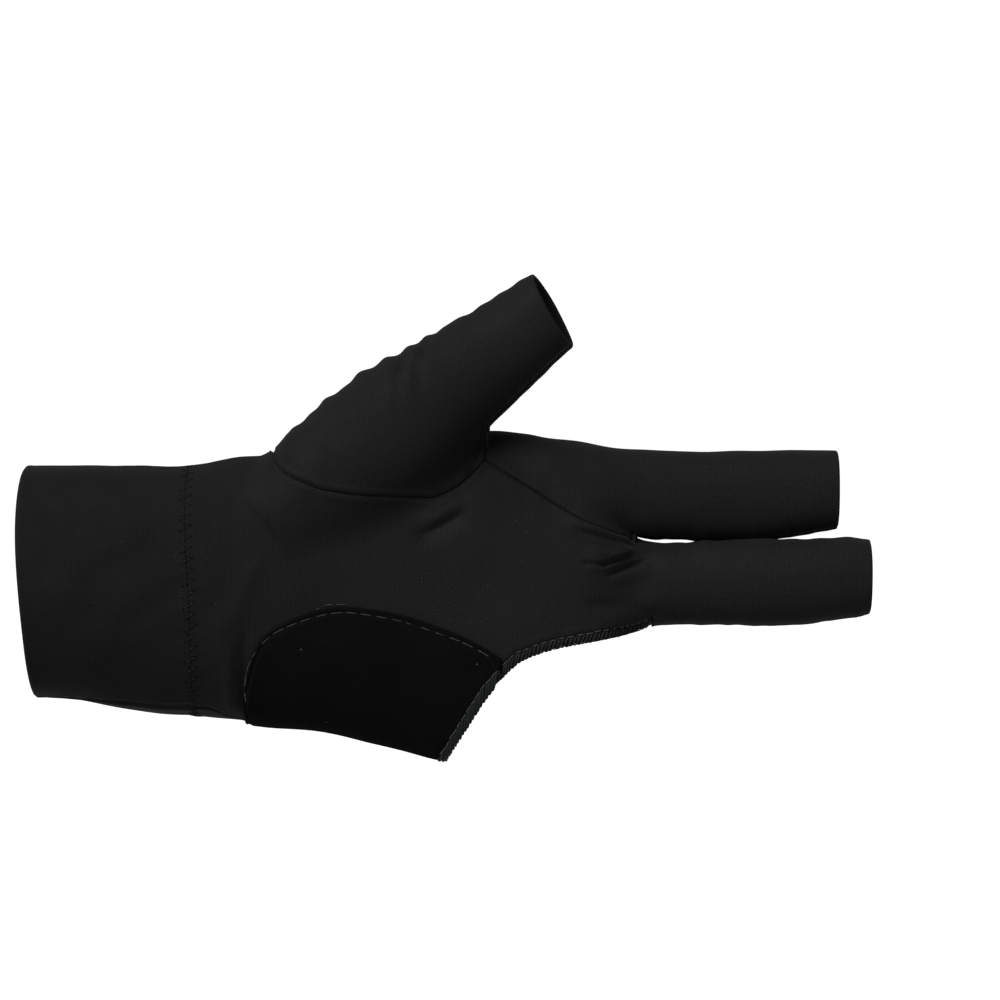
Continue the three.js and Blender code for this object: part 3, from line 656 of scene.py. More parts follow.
def low_seam(x):
    """Angle of the lower side seam, which comes round onto the palm side at the wrist."""
    return SEAM_TURN + LOW_SEAM_SWAY * between(x, *LOW_SWAY_WAY)


def high_seam(x):
    """Angle of the upper side seam, which does the same by less."""
    return 180 - SEAM_TURN - HIGH_SEAM_SWAY * between(x, *HIGH_SWAY_WAY)


CORNER = along_hand(THUMB_SEAM.first)
CUT_START = along_hand(CUT_OUT.first)
CUT_END = along_hand(CUT_OUT.last)
PATCH_START = along_hand(PATCH_EDGE.first)
PATCH_END = along_hand(PATCH_EDGE.last)
HEM_CLEAR = HEM_WIDTH + SEAM_GAP
HEM_START = CUT_START - HEM_WIDTH * steepness(CUT_OUT, CUT_START) / slope_of(CUT_OUT, CUT_START) / 2
OPENING = FINGER_CROTCH + MIDDLE_LENGTH


def seam_height(x, side):
    """Height of the palm's and back's upper seam, half a gap to one side: the thumb's seam, then the
    index's."""
    thumb = edge_at(THUMB_SEAM, x) + side * SEAM_GAP * steepness(THUMB_SEAM, x) / 2
    index = edge_at(INDEX_SEAM, x) + side * SEAM_GAP * steepness(INDEX_SEAM, x) / 2
    return np.where(x < THUMB_CROTCH, thumb, index)


def cut_height(x, width):
    return edge_at(CUT_OUT, x) + width * steepness(CUT_OUT, x)


def turn_of(x, width):
    """Degrees that a width takes up at the lower side seam."""
    across = hand_point(x, low_seam(x)) - hand_spine(x)
    return width / np.hypot(across[..., 1], across[..., 2]) / RADIAN


def on_cut_out(x):
    return (x >= HEM_START - SEAM_GAP) & (x <= CUT_END)


def under_thumb(x):
    return (x >= CORNER) & (x <= FINGER_CROTCH)


def palm_low(x, width):
    seam = low_seam(x) + GAP_TURN
    cut = np.maximum(seam + turn_of(x, width), palm_angle(x, cut_height(x, width)))
    return np.where(on_cut_out(x), cut, seam)


def palm_high(x):
    seam = high_seam(x) - GAP_TURN
    return np.where(under_thumb(x), np.minimum(seam, palm_angle(x, seam_height(x, -1))), seam)


def back_high(x):
    seam = high_seam(x) + GAP_TURN
    return np.where(under_thumb(x), np.maximum(seam, back_angle(x, seam_height(x, -1))), seam)


def back_low(x, width):
    seam = 360 + low_seam(x) - GAP_TURN
    cut = back_angle(x, cut_height(x, width))
    low = np.minimum(seam - turn_of(x, width), np.where(cut < 359, cut, seam))
    return np.where(on_cut_out(x), low, seam)


def stretch(start, end, step):
    """Places between two ends, about one step apart, without the last."""
    count = max(round((end - start) / step), 1)
    return np.linspace(start, end, count, endpoint=False)


def stations(*ends, step, close_first=(), close_last=()):
    """Places along a piece: near the first end, between the ends in turn, and near the last end."""
    parts = [stretch(a, b, step) for a, b in zip(ends, ends[1:])]
    near_first, near_last = ends[0] + np.array(close_first), ends[-1] - np.array(close_last)
    return np.unique(np.round(np.concatenate([*parts, ends[-1:], near_first, near_last]), 5))


EDGE_SPOTS = np.array([0.0, 0.05, 0.14, 0.28, 0.46, 0.7])
EDGE_SHRINK = 9
EDGE_BAND = 2.6
BAND_SHARES = (0.1, 0.12)
BAND_COLUMNS = 15
BAND_WAY = 22
TURNS_FROM = 14
TURNS_WAY = 10


def spread(length, count):
    """Distances across rows of the given lengths: close together at both edges and even between them."""
    spots = EDGE_SPOTS * np.minimum(1, length / EDGE_SHRINK)[:, None]
    start, end = spots[:, -1:], length[:, None] - spots[:, -1:]
    even = mix(start, end, np.linspace(0, 1, count + 1)[1:-1])
    return np.concatenate([spots, even, length[:, None] - spots[:, ::-1]], axis=1)


class Cloth:
    """Grid of skin points with their normals and each point's distance from the grid's four edges."""

    def __init__(self, points, apart, across, length):
        self.points = points
        self.normals = outward(points, apart)
        self.low = across
        self.high = length[:, None] - across
        self.first = run_along(points, 0)
        self.last = self.first[-1:] - self.first
        self.x, self.z = points[..., 0], points[..., 2]
        self.uv = np.stack([across, self.first], axis=-1) / UV_UNIT


def bands(x, run, angles, jumps):
    """Widths of the two strips of close columns at the ends of every row. Past a place where the row
    suddenly grows longer at one end, that strip takes up the growth, so that the other columns run on
    without a bend."""
    length = run[:, -1]
    wide = []
    for end, (jump, share) in enumerate(zip(jumps, BAND_SHARES)):
        own = length[:, None] - run[:, ::-1] if end else run
        turned = -angles[:, ::-1] if end else angles
        band = np.minimum(EDGE_BAND, share * length)
        last = np.flatnonzero(x <= jump)[-1]
        held = np.interp(band[last], own[last], turned[last])
        grown = np.array([np.interp(held, row, have) for row, have in zip(turned, own)])
        eased = mix(grown, share * length, ramp((x - jump) / BAND_WAY))
        wide.append(np.where(x > jump, eased, band))
    return wide


def across_bands(length, low, high, count):
    """Distances across rows: an even middle between two strips that close in on the edges."""
    near = (np.arange(BAND_COLUMNS) / BAND_COLUMNS) ** 1.6
    even = mix(low[:, None], (length - high)[:, None], np.linspace(0, 1, count))
    return np.concatenate([low[:, None] * near, even, length[:, None] - high[:, None] * near[::-1]], axis=1)


def lay_rows(point_at, apart_at, low, high, count, facing=None, x=None, jumps=None, by_angle=None):
    """Cloth whose rows run over the skin between two angles, spaced by the length of the skin itself, or
    by angle where by_angle is 1. The normals leave out the plane that ends a piece. Where an angle that
    faces out is given, the UVs count from there."""
    share = np.linspace(0, 1, ROW_SAMPLES)
    angles = mix(low[:, None], high[:, None], share)
    run = run_along(point_at(angles), 1)
    if jumps:
        across = across_bands(run[:, -1], *bands(x, run, angles, jumps), count)
    else:
        across = spread(run[:, -1], count)
    turned = np.stack([np.interp(want, have, row) for want, have, row in zip(across, run, angles)])
    if by_angle is not None:
        even = mix(low[:, None], high[:, None], across / run[:, -1:])
        turned = mix(turned, even, by_angle[:, None])
        across = np.stack([np.interp(want, row, have) for want, row, have in zip(turned, angles, run)])
    points = point_at(turned)
    apart = apart_at(turned)
    apart[..., 4:] = (0, 0, PART_OFF)
    cloth = Cloth(points, apart, across, run[:, -1])
    if facing is not None:
        centre = np.array([np.interp(facing, row, have) for have, row in zip(run, angles)])[:, None]
        middle = point_at(np.full((len(low), 1), float(facing)))[:, 0]
        along = run_along(middle, 0)[:, None]
        cloth.uv = np.stack([across - centre, np.broadcast_to(along, across.shape)], axis=-1) / UV_UNIT
    return cloth


def hand_cloth(x, low, high, count, facing=90, jumps=None):
    def point_at(angle):
        place = np.broadcast_to(x[:, None], angle.shape)
        place = place + seam_drift(place, angle)
        return hand_point(place, angle)

    def apart_at(angle):
        return hand_apart(np.broadcast_to(x[:, None], angle.shape))

    return lay_rows(point_at, apart_at, low, high, count, facing, x, jumps)


def seam_drift(x, angle):
    """How far the cuff's seam stands further on towards its lower side, which dies out away from the seam."""
    lower = ramp(0.5 + 0.62 * np.cos(angle * RADIAN))
    return SEAM_DRIFT * lower * np.exp(-(((x - CUFF_LENGTH) / 9) ** 2))


def index_cloth(x, low, high, count):
    """The index sleeve's cloth. Its rows change to even angles before the crotch, where their lengths
    jump."""
    def point_at(angle):
        return index_point(np.broadcast_to(x[:, None], angle.shape), angle)

    def apart_at(angle):
        return index_apart(np.broadcast_to(x[:, None], angle.shape))

    by_angle = ramp((x - FINGER_CROTCH + TURNS_FROM) / TURNS_WAY)
    return lay_rows(point_at, apart_at, low, high, count, 90, by_angle=by_angle)


def folds(x, z):
    """Relief of the folds at places seen from the palm: each is a Gaussian across its line that dies out
    past its ends."""
    height = np.zeros_like(x)
    for from_along, from_up, to_along, to_up, wide, lift in FOLDS:
        ax, az = along_hand(from_along), from_up * HAND_HEIGHT
        bx, bz = along_hand(to_along) - ax, to_up * HAND_HEIGHT - az
        length = np.hypot(bx, bz)
        share = ((x - ax) * bx + (z - az) * bz) / length**2
        aside = ((x - ax) * bz - (z - az) * bx) / length
        wide = wide * HAND_HEIGHT
        beyond = np.maximum(np.abs(share - 0.5) - FOLD_EVEN, 0) * np.minimum(length / wide, FOLD_TAPER)
        height += lift * np.exp(-((aside / wide) ** 2) - beyond**2)
    return height * FOLD_HEIGHT


def palm_folds(cloth):
    """The folds show on the palm and die out towards the sides."""
    return folds(cloth.x, cloth.z) * ramp(-cloth.normals[..., 1] * SIDE_FADE)


def wander(run, pitch, seed):
    """Uneven wave between about -1 and 1: three sines whose lengths and starts come from a seed."""
    source = np.random.default_rng(seed)
    wave = np.zeros_like(run)
    for weight in (0.5, 0.3, 0.2):
        length = pitch * source.uniform(0.7, 1.5)
        wave += weight * np.sin(2 * np.pi * run / length + source.uniform(0, 6.28))
    return wave


def press(cloth, way):
    """The index and middle fingers' sleeves swell towards each other where they touch."""
    return TOUCH_SWELL * between(cloth.x, *TOUCH_WAY) * ramp(way * cloth.normals[..., 2] * 1.6 - 0.4)


def crown(cloth):
    """Low swell on the upper side of the index finger's root, which keeps its outline straight."""
    along = np.exp(-(((cloth.x - CROWN_AT) / CROWN_WIDE) ** 2))
    return CROWN_SWELL * along * ramp(cloth.normals[..., 2] * 1.8 - 0.3)


def slack_at(points, height=0.1):
    """Faint unevenness of worn cloth: sines of five slanting directions through space, 9 to 20 mm long."""
    source = np.random.default_rng(7)
    lift = np.zeros(points.shape[:-1])
    for _ in range(5):
        way = unit(source.normal(size=3)) * 2 * np.pi / source.uniform(9, 20)
        lift += np.sin(points @ way + source.uniform(0, 6.28))
    return lift * height / 2.5


def slack(cloth, height=0.1):
    return slack_at(cloth.points, height)


def sunk(distance, wide, deep):
    """How far a cloth's edge sinks into its seam: a quarter of an oval, wide across and deep."""
    t = np.clip(1 - distance / wide, 0, 1)
    return deep * (1 - np.sqrt(1 - t * t))


def lip(distance, height, at=1.3, wide=0.7):
    """Low ridge beside a seam."""
    return height * np.exp(-(((distance - at) / wide) ** 2))


def allowance(distance, deep=1.3, wide=0.7):
    """Rib on the inside along a seam, where the two cloths turn in."""
    return deep * ramp(1 - distance / wide)


def gathers(run, distance, pitch, height, far, seed):
    """Small puckers along a seam, which fade with the distance from it."""
    return height * wander(run, pitch, seed) * np.exp(-((distance / far) ** 2))


class Sewn:
    """Outer and inner heights of a piece over the skin, to which seams and openings are added."""

    def __init__(self, cloth, relief, wall):
        self.cloth = cloth
        self.outer = relief
        self.inner = relief - wall
        self.wall = wall

    def seam(self, distance, run, seed, deep=0.6, wide=0.75, ridge=0.12, pucker=0.1, pitch=4.5, far=3.5):
        change = lip(distance, ridge) + gathers(run, distance, pitch, pucker, far, seed)
        self.outer = self.outer + change - sunk(distance, wide, deep)
        self.inner = self.inner + change - allowance(distance)
        return self

    def opening(self, distance, swell=0.0):
        """Full round edge: the outer face comes down and the inner face up by the same quarter circle."""
        half = self.wall / 2
        thick = swell * np.exp(-((distance / 1.6) ** 2))
        self.outer = self.outer + thick - sunk(distance, half, half * 0.97)
        self.inner = self.inner - thick + sunk(distance, half, half * 0.97)
        return self

    def grids(self):
        points, normals = self.cloth.points, self.cloth.normals
        return points + normals * self.outer[..., None], points + normals * self.inner[..., None]


def make_mesh(name, points, faces, uv=None):
    """Mesh from points in millimetres and groups of faces, each an array of corners, with the UVs of each
    corner."""
    mesh = bpy.data.meshes.new(name)
    corners = np.concatenate([group.ravel() for group in faces]).astype(np.int32)
    totals = np.concatenate([np.full(len(group), group.shape[1]) for group in faces])
    starts = np.concatenate([[0], np.cumsum(totals)[:-1]]).astype(np.int32)
    mesh.vertices.add(len(points))
    mesh.vertices.foreach_set("co", (points * MM).astype(np.float32).ravel())
    mesh.loops.add(len(corners))
    mesh.loops.foreach_set("vertex_index", corners)
    mesh.polygons.add(len(totals))
    mesh.polygons.foreach_set("loop_start", starts)
    mesh.polygons.foreach_set("use_smooth", np.ones(len(totals), bool))
    if uv is not None:
        layer = mesh.uv_layers.new(name="UVMap")
        flat = np.concatenate([group.reshape(-1, 2) for group in uv])
        layer.uv.foreach_set("vector", flat.astype(np.float32).ravel())
    mesh.update(calc_edges=True)
    if mesh.validate():
        raise RuntimeError(f"{name} has faces that are not valid")
    return mesh


def signed_volume(points, faces):
    """Sum over the faces of the volume that each makes with the origin, which is positive when they face
    outwards."""
    total = 0.0
    for group in faces:
        first = points[group[:, 0]]
        for k in range(1, group.shape[1] - 1):
            total += np.einsum("ij,ij->", first, np.cross(points[group[:, k]], points[group[:, k + 1]]))
    return total / 6


def closed_mesh(name, points, faces, uvs):
    """Mesh of a closed surface, with its faces turned round where they face inwards."""
    if signed_volume(points, faces) < 0:
        faces = [group[:, ::-1] for group in faces]
        uvs = [group[:, ::-1] for group in uvs]
    return make_mesh(name, points, faces, uvs)


def shell(name, outer, inner, uv, ring=False):
    """Closed mesh between two grids of points. On a ring each row closes on itself, and the last column of
    its UVs stands for the first column again."""
    rows, columns = outer.shape[:2]
    wide = columns if ring else columns - 1
    i, j = (grid.ravel() for grid in np.meshgrid(np.arange(rows - 1), np.arange(wide), indexing="ij"))
    row, column = np.arange(rows - 1), np.arange(wide)
    below, after = row + 1, column + 1
    first, left = np.zeros_like(column), np.zeros_like(row)
    last, right = first + rows - 1, left + columns - 1

    def corner_set(side_i_j):
        sides, rows_at, columns_at = (np.stack(list(part), axis=1) for part in zip(*side_i_j))
        flat = sides * rows * columns + rows_at * columns + columns_at % columns
        return flat, uv[rows_at, columns_at]

    a, b = 0 * i, 0 * i + 1
    c, d = 0 * column, 0 * column + 1
    e, f = 0 * row, 0 * row + 1
    sets = [
        corner_set([(a, i, j), (a, i + 1, j), (a, i + 1, j + 1), (a, i, j + 1)]),
        corner_set([(b, i, j), (b, i, j + 1), (b, i + 1, j + 1), (b, i + 1, j)]),
        corner_set([(c, first, column), (c, first, after), (d, first, after), (d, first, column)]),
        corner_set([(c, last, column), (d, last, column), (d, last, after), (c, last, after)]),
    ]
    if not ring:
        sets += [
            corner_set([(e, row, left), (f, row, left), (f, below, left), (e, below, left)]),
            corner_set([(e, row, right), (e, below, right), (f, below, right), (f, row, right)]),
        ]
    points = np.concatenate([outer.reshape(-1, 3), inner.reshape(-1, 3)])
    faces = [flat for flat, _ in sets]
    uvs = [coordinates for _, coordinates in sets]
    return closed_mesh(name, points, faces, uvs)


def tubes(name, paths, ups, radius, sides=6, ends=0.4):
    """Threads carried along paths: at each point a ring of radius times (cosine of up + sine of across).
    The rings shrink at both ends and are closed by a flat cap."""
    count, length = paths.shape[:2]
    tangent = unit(np.gradient(paths, axis=1))
    across = unit(np.cross(tangent, ups))
    up = np.cross(across, tangent)
    turn = 2 * np.pi * np.arange(sides) / sides
    swell = np.ones(length)
    swell[[0, -1]] = ends
    swell[[1, -2]] = (1 + ends) / 2
    radius = np.broadcast_to(radius, (count,))[:, None] * swell
    round_it = np.cos(turn)[:, None] * up[:, :, None] + np.sin(turn)[:, None] * across[:, :, None]
    rings = paths[:, :, None] + radius[..., None, None] * round_it
    points = rings.reshape(-1, 3)
    spans = np.arange(count), np.arange(length - 1), np.arange(sides)
    n, k, m = (grid.ravel() for grid in np.meshgrid(*spans, indexing="ij"))

    def at(ring, side):
        return (n * length + ring) * sides + side % sides

    quads = np.stack([at(k, m), at(k, m + 1), at(k + 1, m + 1), at(k + 1, m)], axis=1)
    heads = (np.arange(count) * length * sides)[:, None] + np.arange(sides)[::-1]
    tails = (np.arange(count) * length * sides + (length - 1) * sides)[:, None] + np.arange(sides)
    run = run_along(paths, 1)
    along = np.stack([run[n, k], run[n, k], run[n, k + 1], run[n, k + 1]], axis=1)
    round_uv = np.stack([m, m + 1, m + 1, m], axis=1) / sides
    uv = np.stack([round_uv, along], axis=-1)
    cap_uv = np.zeros((count, sides, 2))
    faces, uvs = [quads, heads, tails], [uv, cap_uv, cap_uv]
    return closed_mesh(name, points, faces, uvs)


def place(name, mesh, material, slot, *nodes):
    """Object for a finished mesh, riding on the root and standing for its nodes."""
    piece = bpy.data.objects.new(name, mesh)
    bpy.context.collection.objects.link(piece)
    mesh.materials.append(material)
    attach(piece, "root")
    if nodes:
        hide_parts(*nodes)
    return piece


# Materials.

LINT_COLOUR = (0.06, 0.06, 0.06, 1)
# Colours of the painted shade in the zigzag's needle holes.
HOLE_SHADE_DARK = (0.0012, 0.0012, 0.0013)
HOLE_SHADE_LIGHT = (0.003, 0.003, 0.003)
VALLEY_OFF = 4


def node_group(name, inputs, outputs):
    """Empty shader node group with its sockets. Inputs are name, kind and default."""
    group = bpy.data.node_groups.new(name, "ShaderNodeTree")
    for label, kind, default in inputs:
        socket = group.interface.new_socket(name=label, in_out="INPUT", socket_type=kind)
        if default is not None:
            socket.default_value = default
    for label, kind in outputs:
        group.interface.new_socket(name=label, in_out="OUTPUT", socket_type=kind)
    start = group.nodes.new("NodeGroupInput")
    end = group.nodes.new("NodeGroupOutput")
    return group, start, end


class Wiring:
    """Short hand for adding linked nodes to a tree."""

    def __init__(self, tree):
        self.tree = tree

    def feed(self, socket, value):
        if hasattr(value, "is_output"):
            self.tree.links.new(value, socket)
        else:
            socket.default_value = value

    def maths(self, operation, *values, clamp=False):
        node = self.tree.nodes.new("ShaderNodeMath")
        node.operation = operation
        node.use_clamp = clamp
        for socket, value in zip(node.inputs, values):
            self.feed(socket, value)
        return node.outputs[0]

    def noise(self, vector, scale, detail=2.0, roughness=0.5):
        node = self.tree.nodes.new("ShaderNodeTexNoise")
        self.feed(node.inputs["Vector"], vector)
        self.feed(node.inputs["Scale"], scale)
        node.inputs["Detail"].default_value = detail
        node.inputs["Roughness"].default_value = roughness
        return node.outputs["Fac"]

    def ranged(self, value, low, high, to_low=0.0, to_high=1.0):
        node = self.tree.nodes.new("ShaderNodeMapRange")
        node.interpolation_type = "SMOOTHSTEP"
        for label, part in (
            ("Value", value),
            ("From Min", low),
            ("From Max", high),
            ("To Min", to_low),
            ("To Max", to_high),
        ):
            self.feed(node.inputs[label], part)
        return node.outputs["Result"]

    def tint(self, share, dark, light):
        node = self.tree.nodes.new("ShaderNodeMix")
        node.data_type = "RGBA"
        self.feed(node.inputs["Factor"], share)
        self.feed(node.inputs["A"], dark)
        self.feed(node.inputs["B"], light)
        return node.outputs["Result"]

    def split(self, vector):
        node = self.tree.nodes.new("ShaderNodeSeparateXYZ")
        self.feed(node.inputs[0], vector)
        return node.outputs

    def group(self, group, **values):
        node = self.tree.nodes.new("ShaderNodeGroup")
        node.node_tree = group
        for label, value in values.items():
            self.feed(node.inputs[label], value)
        return node.outputs


def knit_group():
    """Fine stretch knit. Wales are cosines across, courses are cosines along that bend with each wale, and
    both waver with noise. Height is their weighted sum and Thread the share of thread that shows."""
    group, start, end = node_group(
        "Stretch knit",
        [
            ("Vector", "NodeSocketVector", None),
            ("Wale", "NodeSocketFloat", 0.055),
            ("Course", "NodeSocketFloat", 0.045),
            ("Waver", "NodeSocketFloat", 0.012),
        ],
        [("Height", "NodeSocketFloat"), ("Thread", "NodeSocketFloat")],
    )
    wire = Wiring(group)
    vector = start.outputs["Vector"]
    u, v, _ = wire.split(vector)
    sway = wire.maths("SUBTRACT", wire.noise(vector, 6.0, 3.0), 0.5)
    u = wire.maths("ADD", u, wire.maths("MULTIPLY", sway, start.outputs["Waver"]))
    v = wire.maths("ADD", v, wire.maths("MULTIPLY", sway, start.outputs["Waver"]))
    across = wire.maths("DIVIDE", u, start.outputs["Wale"])
    chevron = wire.maths("PINGPONG", across, 0.5)
    wale = wire.maths("COSINE", wire.maths("MULTIPLY", across, 2 * np.pi))
    along = wire.maths("ADD", wire.maths("DIVIDE", v, start.outputs["Course"]), chevron)
    course = wire.maths("COSINE", wire.maths("MULTIPLY", along, 2 * np.pi))
    both = wire.maths("ADD", wire.maths("MULTIPLY", wale, 0.16), wire.maths("MULTIPLY", course, 0.26))
    height = wire.maths("ADD", both, 0.5)
    fuzz = wire.noise(vector, 24.0, 4.0, 0.75)
    wire.feed(end.inputs["Height"], wire.maths("ADD", height, wire.maths("MULTIPLY", fuzz, 0.35)))
    shown = wire.ranged(fuzz, 0.32, 0.68, 0.15, 1.0)
    wire.feed(end.inputs["Thread"], wire.maths("MULTIPLY", height, shown, clamp=True))
    return group


def lint_group():
    """Sparse specks of lint: spots round the cell points of a fine grid, kept where a white noise read at
    each cell point is high."""
    group, start, end = node_group(
        "Lint",
        [
            ("Vector", "NodeSocketVector", None),
            ("Scale", "NodeSocketFloat", 400.0),
            ("Size", "NodeSocketFloat", 0.1),
            ("Share", "NodeSocketFloat", 0.6),
        ],
        [("Mask", "NodeSocketFloat")],
    )
    wire = Wiring(group)
    cells = group.nodes.new("ShaderNodeTexVoronoi")
    wire.feed(cells.inputs["Vector"], start.outputs["Vector"])
    wire.feed(cells.inputs["Scale"], start.outputs["Scale"])
    spot = wire.maths("LESS_THAN", cells.outputs["Distance"], start.outputs["Size"])
    chance = group.nodes.new("ShaderNodeTexWhiteNoise")
    wire.feed(chance.inputs["Vector"], cells.outputs["Position"])
    kept = wire.maths("GREATER_THAN", chance.outputs["Value"], start.outputs["Share"])
    wire.feed(end.inputs["Mask"], wire.maths("MULTIPLY", spot, kept))
    return group


def tone_group():
    """Slow change of tone over the cloth: two noises of different size, from 0 to 1."""
    group, start, end = node_group(
        "Worn tone",
        [("Vector", "NodeSocketVector", None), ("Scale", "NodeSocketFloat", 40.0)],
        [("Tone", "NodeSocketFloat")],
    )
    wire = Wiring(group)
    broad = wire.noise(start.outputs["Vector"], start.outputs["Scale"], 3.0)
    fine = wire.noise(start.outputs["Vector"], wire.maths("MULTIPLY", start.outputs["Scale"], 6.0), 3.0)
    both = wire.maths("ADD", wire.maths("MULTIPLY", broad, 0.65), wire.maths("MULTIPLY", fine, 0.35))
    wire.feed(end.inputs["Tone"], wire.ranged(both, 0.3, 0.7))
    return group


def shade_and_darker_wrist_group():
    """Painted shade and a darker wrist: the cloth goes fuller black towards the wrist, and painted shade
    darkens it in the valley by the thumb, where the thumb's shadow and the crease's shade fall. It grows
    along X and with the distance from the valley's end."""
    group, start, end = node_group(
        "Painted valley shade, darker wrist",
        [("Vector", "NodeSocketVector", None), ("Reach", "NodeSocketFloat", 0.023)],
        [("Tone", "NodeSocketFloat")],
    )
    wire = Wiring(group)
    x, _, z = wire.split(start.outputs["Vector"])
    # Darker towards the wrist.
    by_length = wire.ranged(x, 0.0, 0.1, 0.42, 1.0)
    # Painted shade: darker within the reach of the valley by the thumb.
    aside = wire.maths("SUBTRACT", x, (CROTCH[0] + VALLEY_OFF) * MM)
    above = wire.maths("SUBTRACT", z, (CROTCH[1] - VALLEY_OFF) * MM)
    square = wire.maths("ADD", wire.maths("MULTIPLY", aside, aside), wire.maths("MULTIPLY", above, above))
    far = wire.maths("DIVIDE", wire.maths("SQRT", square), start.outputs["Reach"])
    wire.feed(end.inputs["Tone"], wire.maths("MULTIPLY", by_length, wire.ranged(far, 0.2, 1.0, 0.0, 1.0)))
    return group


def twist_group():
    """Twist of a thread: a sine that runs round and along it together."""
    group, start, end = node_group(
        "Thread twist",
        [("Vector", "NodeSocketVector", None), ("Pitch", "NodeSocketFloat", 0.5)],
        [("Height", "NodeSocketFloat")],
    )
    wire = Wiring(group)
    u, v, _ = wire.split(start.outputs["Vector"])
    phase = wire.maths("ADD", wire.maths("MULTIPLY", u, 2.0), wire.maths("DIVIDE", v, start.outputs["Pitch"]))
    wave = wire.maths("SINE", wire.maths("MULTIPLY", phase, 2 * np.pi))
    wire.feed(end.inputs["Height"], wire.maths("ADD", wire.maths("MULTIPLY", wave, 0.5), 0.5))
    return group


def shared(name, maker):
    """Node group by name, made the first time that it is asked for."""
    return bpy.data.node_groups.get(name) or maker()


def fabric(name, sheen, roughness, specular):
    """New material with a Principled shader whose plain values are set on the shader itself."""
    material = bpy.data.materials.new(name)
    material.use_nodes = True
    tree = material.node_tree
    shader = tree.nodes["Principled BSDF"]
    shader.inputs["Roughness"].default_value = roughness
    shader.inputs["Specular IOR Level"].default_value = specular
    shader.inputs["Sheen Weight"].default_value = sheen
    shader.inputs["Sheen Roughness"].default_value = 0.45
    places = tree.nodes.new("ShaderNodeTexCoord")
    return material, Wiring(tree), shader, places


def bump(wire, height, strength, distance, shader):
    node = wire.tree.nodes.new("ShaderNodeBump")
    node.inputs["Strength"].default_value = strength
    node.inputs["Distance"].default_value = distance
    wire.feed(node.inputs["Height"], height)
    wire.feed(shader.inputs["Normal"], node.outputs["Normal"])


def cloth_material():
    """Black stretch knit with a faint sheen, uneven tone, painted shade in the valley by the thumb, a darker
    wrist end and a little lint.
    """
    name = "Stretch cloth"
    if name in bpy.data.materials:
        return bpy.data.materials[name]
    look = bpy.context.scene.glove_cloth
    material, wire, shader, places = fabric(name, look.sheen, 0.75, 0.09)
    shader.inputs["Sheen Tint"].default_value = (0.9, 0.93, 1.0, 1.0)
    weave = {"Wale": look.wale / MM / UV_UNIT, "Course": look.course / MM / UV_UNIT}
    knit = wire.group(shared("Stretch knit", knit_group), Vector=places.outputs["UV"], **weave)
    at = places.outputs["Object"]
    tone = wire.group(shared("Worn tone", tone_group), Vector=at, Scale=45.0)["Tone"]
    lint = wire.group(shared("Lint", lint_group), Vector=at, Scale=360.0, Size=0.055, Share=0.72)
    # Painted shade in the valley by the thumb, and a darker tone towards the wrist.
    shade_and_darker_wrist = wire.group(shared("Painted valley shade, darker wrist", shade_and_darker_wrist_group), Vector=at)["Tone"]
    share = wire.maths("MULTIPLY", knit["Thread"], wire.ranged(tone, 0.0, 1.0, 0.7, 1.0))
    share = wire.maths("MULTIPLY", share, shade_and_darker_wrist)
    colour = wire.tint(share, (*look.cloth_dark, 1), (*look.cloth_light, 1))
    colour = wire.tint(wire.maths("MULTIPLY", lint["Mask"], 0.22), colour, LINT_COLOUR)
    wire.feed(shader.inputs["Base Color"], colour)
    wire.feed(shader.inputs["Roughness"], wire.ranged(tone, 0.0, 1.0, 0.7, 0.82))
    bump(wire, knit["Height"], 0.6, 0.00012, shader)
    return material


def patch_material():
    """Velvet-like pile: nearly black, rough, with a soft nap and a few specks of lint."""
    name = "Velvet patch"
    if name in bpy.data.materials:
        return bpy.data.materials[name]
    look = bpy.context.scene.glove_cloth
    material, wire, shader, places = fabric(name, 0.01, 0.95, 0.03)
    at = places.outputs["Object"]
    nap = wire.noise(at, 2600.0, 3.0, 0.75)
    tone = wire.group(shared("Worn tone", tone_group), Vector=at, Scale=70.0)["Tone"]
    lint = wire.group(shared("Lint", lint_group), Vector=at, Scale=330.0, Size=0.075, Share=0.86)
    share = wire.maths("MULTIPLY", wire.ranged(nap, 0.3, 0.75), wire.ranged(tone, 0.0, 1.0, 0.6, 1.0))
    colour = wire.tint(share, (*look.patch_dark, 1), (*look.patch_light, 1))
    colour = wire.tint(wire.maths("MULTIPLY", lint["Mask"], 0.5), colour, LINT_COLOUR)
    wire.feed(shader.inputs["Base Color"], colour)
    bump(wire, nap, 0.8, 0.00015, shader)
    return material


def thread_material(name, colour, speck, pitch=0.5, sheen=0.1, specular=0.3):
    """Sewing thread: twisted, with lighter flecks where single fibres catch the light."""
    if name in bpy.data.materials:
        return bpy.data.materials[name]
    material, wire, shader, places = fabric(name, sheen, 0.6, specular)
    along = places.outputs["UV"]
    twist = wire.group(shared("Thread twist", twist_group), Vector=along, Pitch=pitch)["Height"]
    fleck = wire.ranged(wire.noise(places.outputs["Object"], 1500.0, 3.0, 0.7), 0.52, 0.68)
    share = wire.maths("MULTIPLY", fleck, wire.maths("ADD", wire.maths("MULTIPLY", twist, 0.6), 0.4))
    wire.feed(shader.inputs["Base Color"], wire.tint(share, (*colour, 1), (*speck, 1)))
    bump(wire, twist, 0.6, 0.00008, shader)
    return material


def hem_material():
    """For the overlocked loops, in the hem's own colour."""
    look = bpy.context.scene.glove_cloth
    return thread_material("Overlock thread", look.hem_dark, look.hem_light, sheen=0.05, specular=0.15)


def dark_thread():
    """For the zigzag."""
    look = bpy.context.scene.glove_cloth
    return thread_material("Dark thread", look.dark_thread, look.dark_fleck, sheen=0.0, specular=0.1)


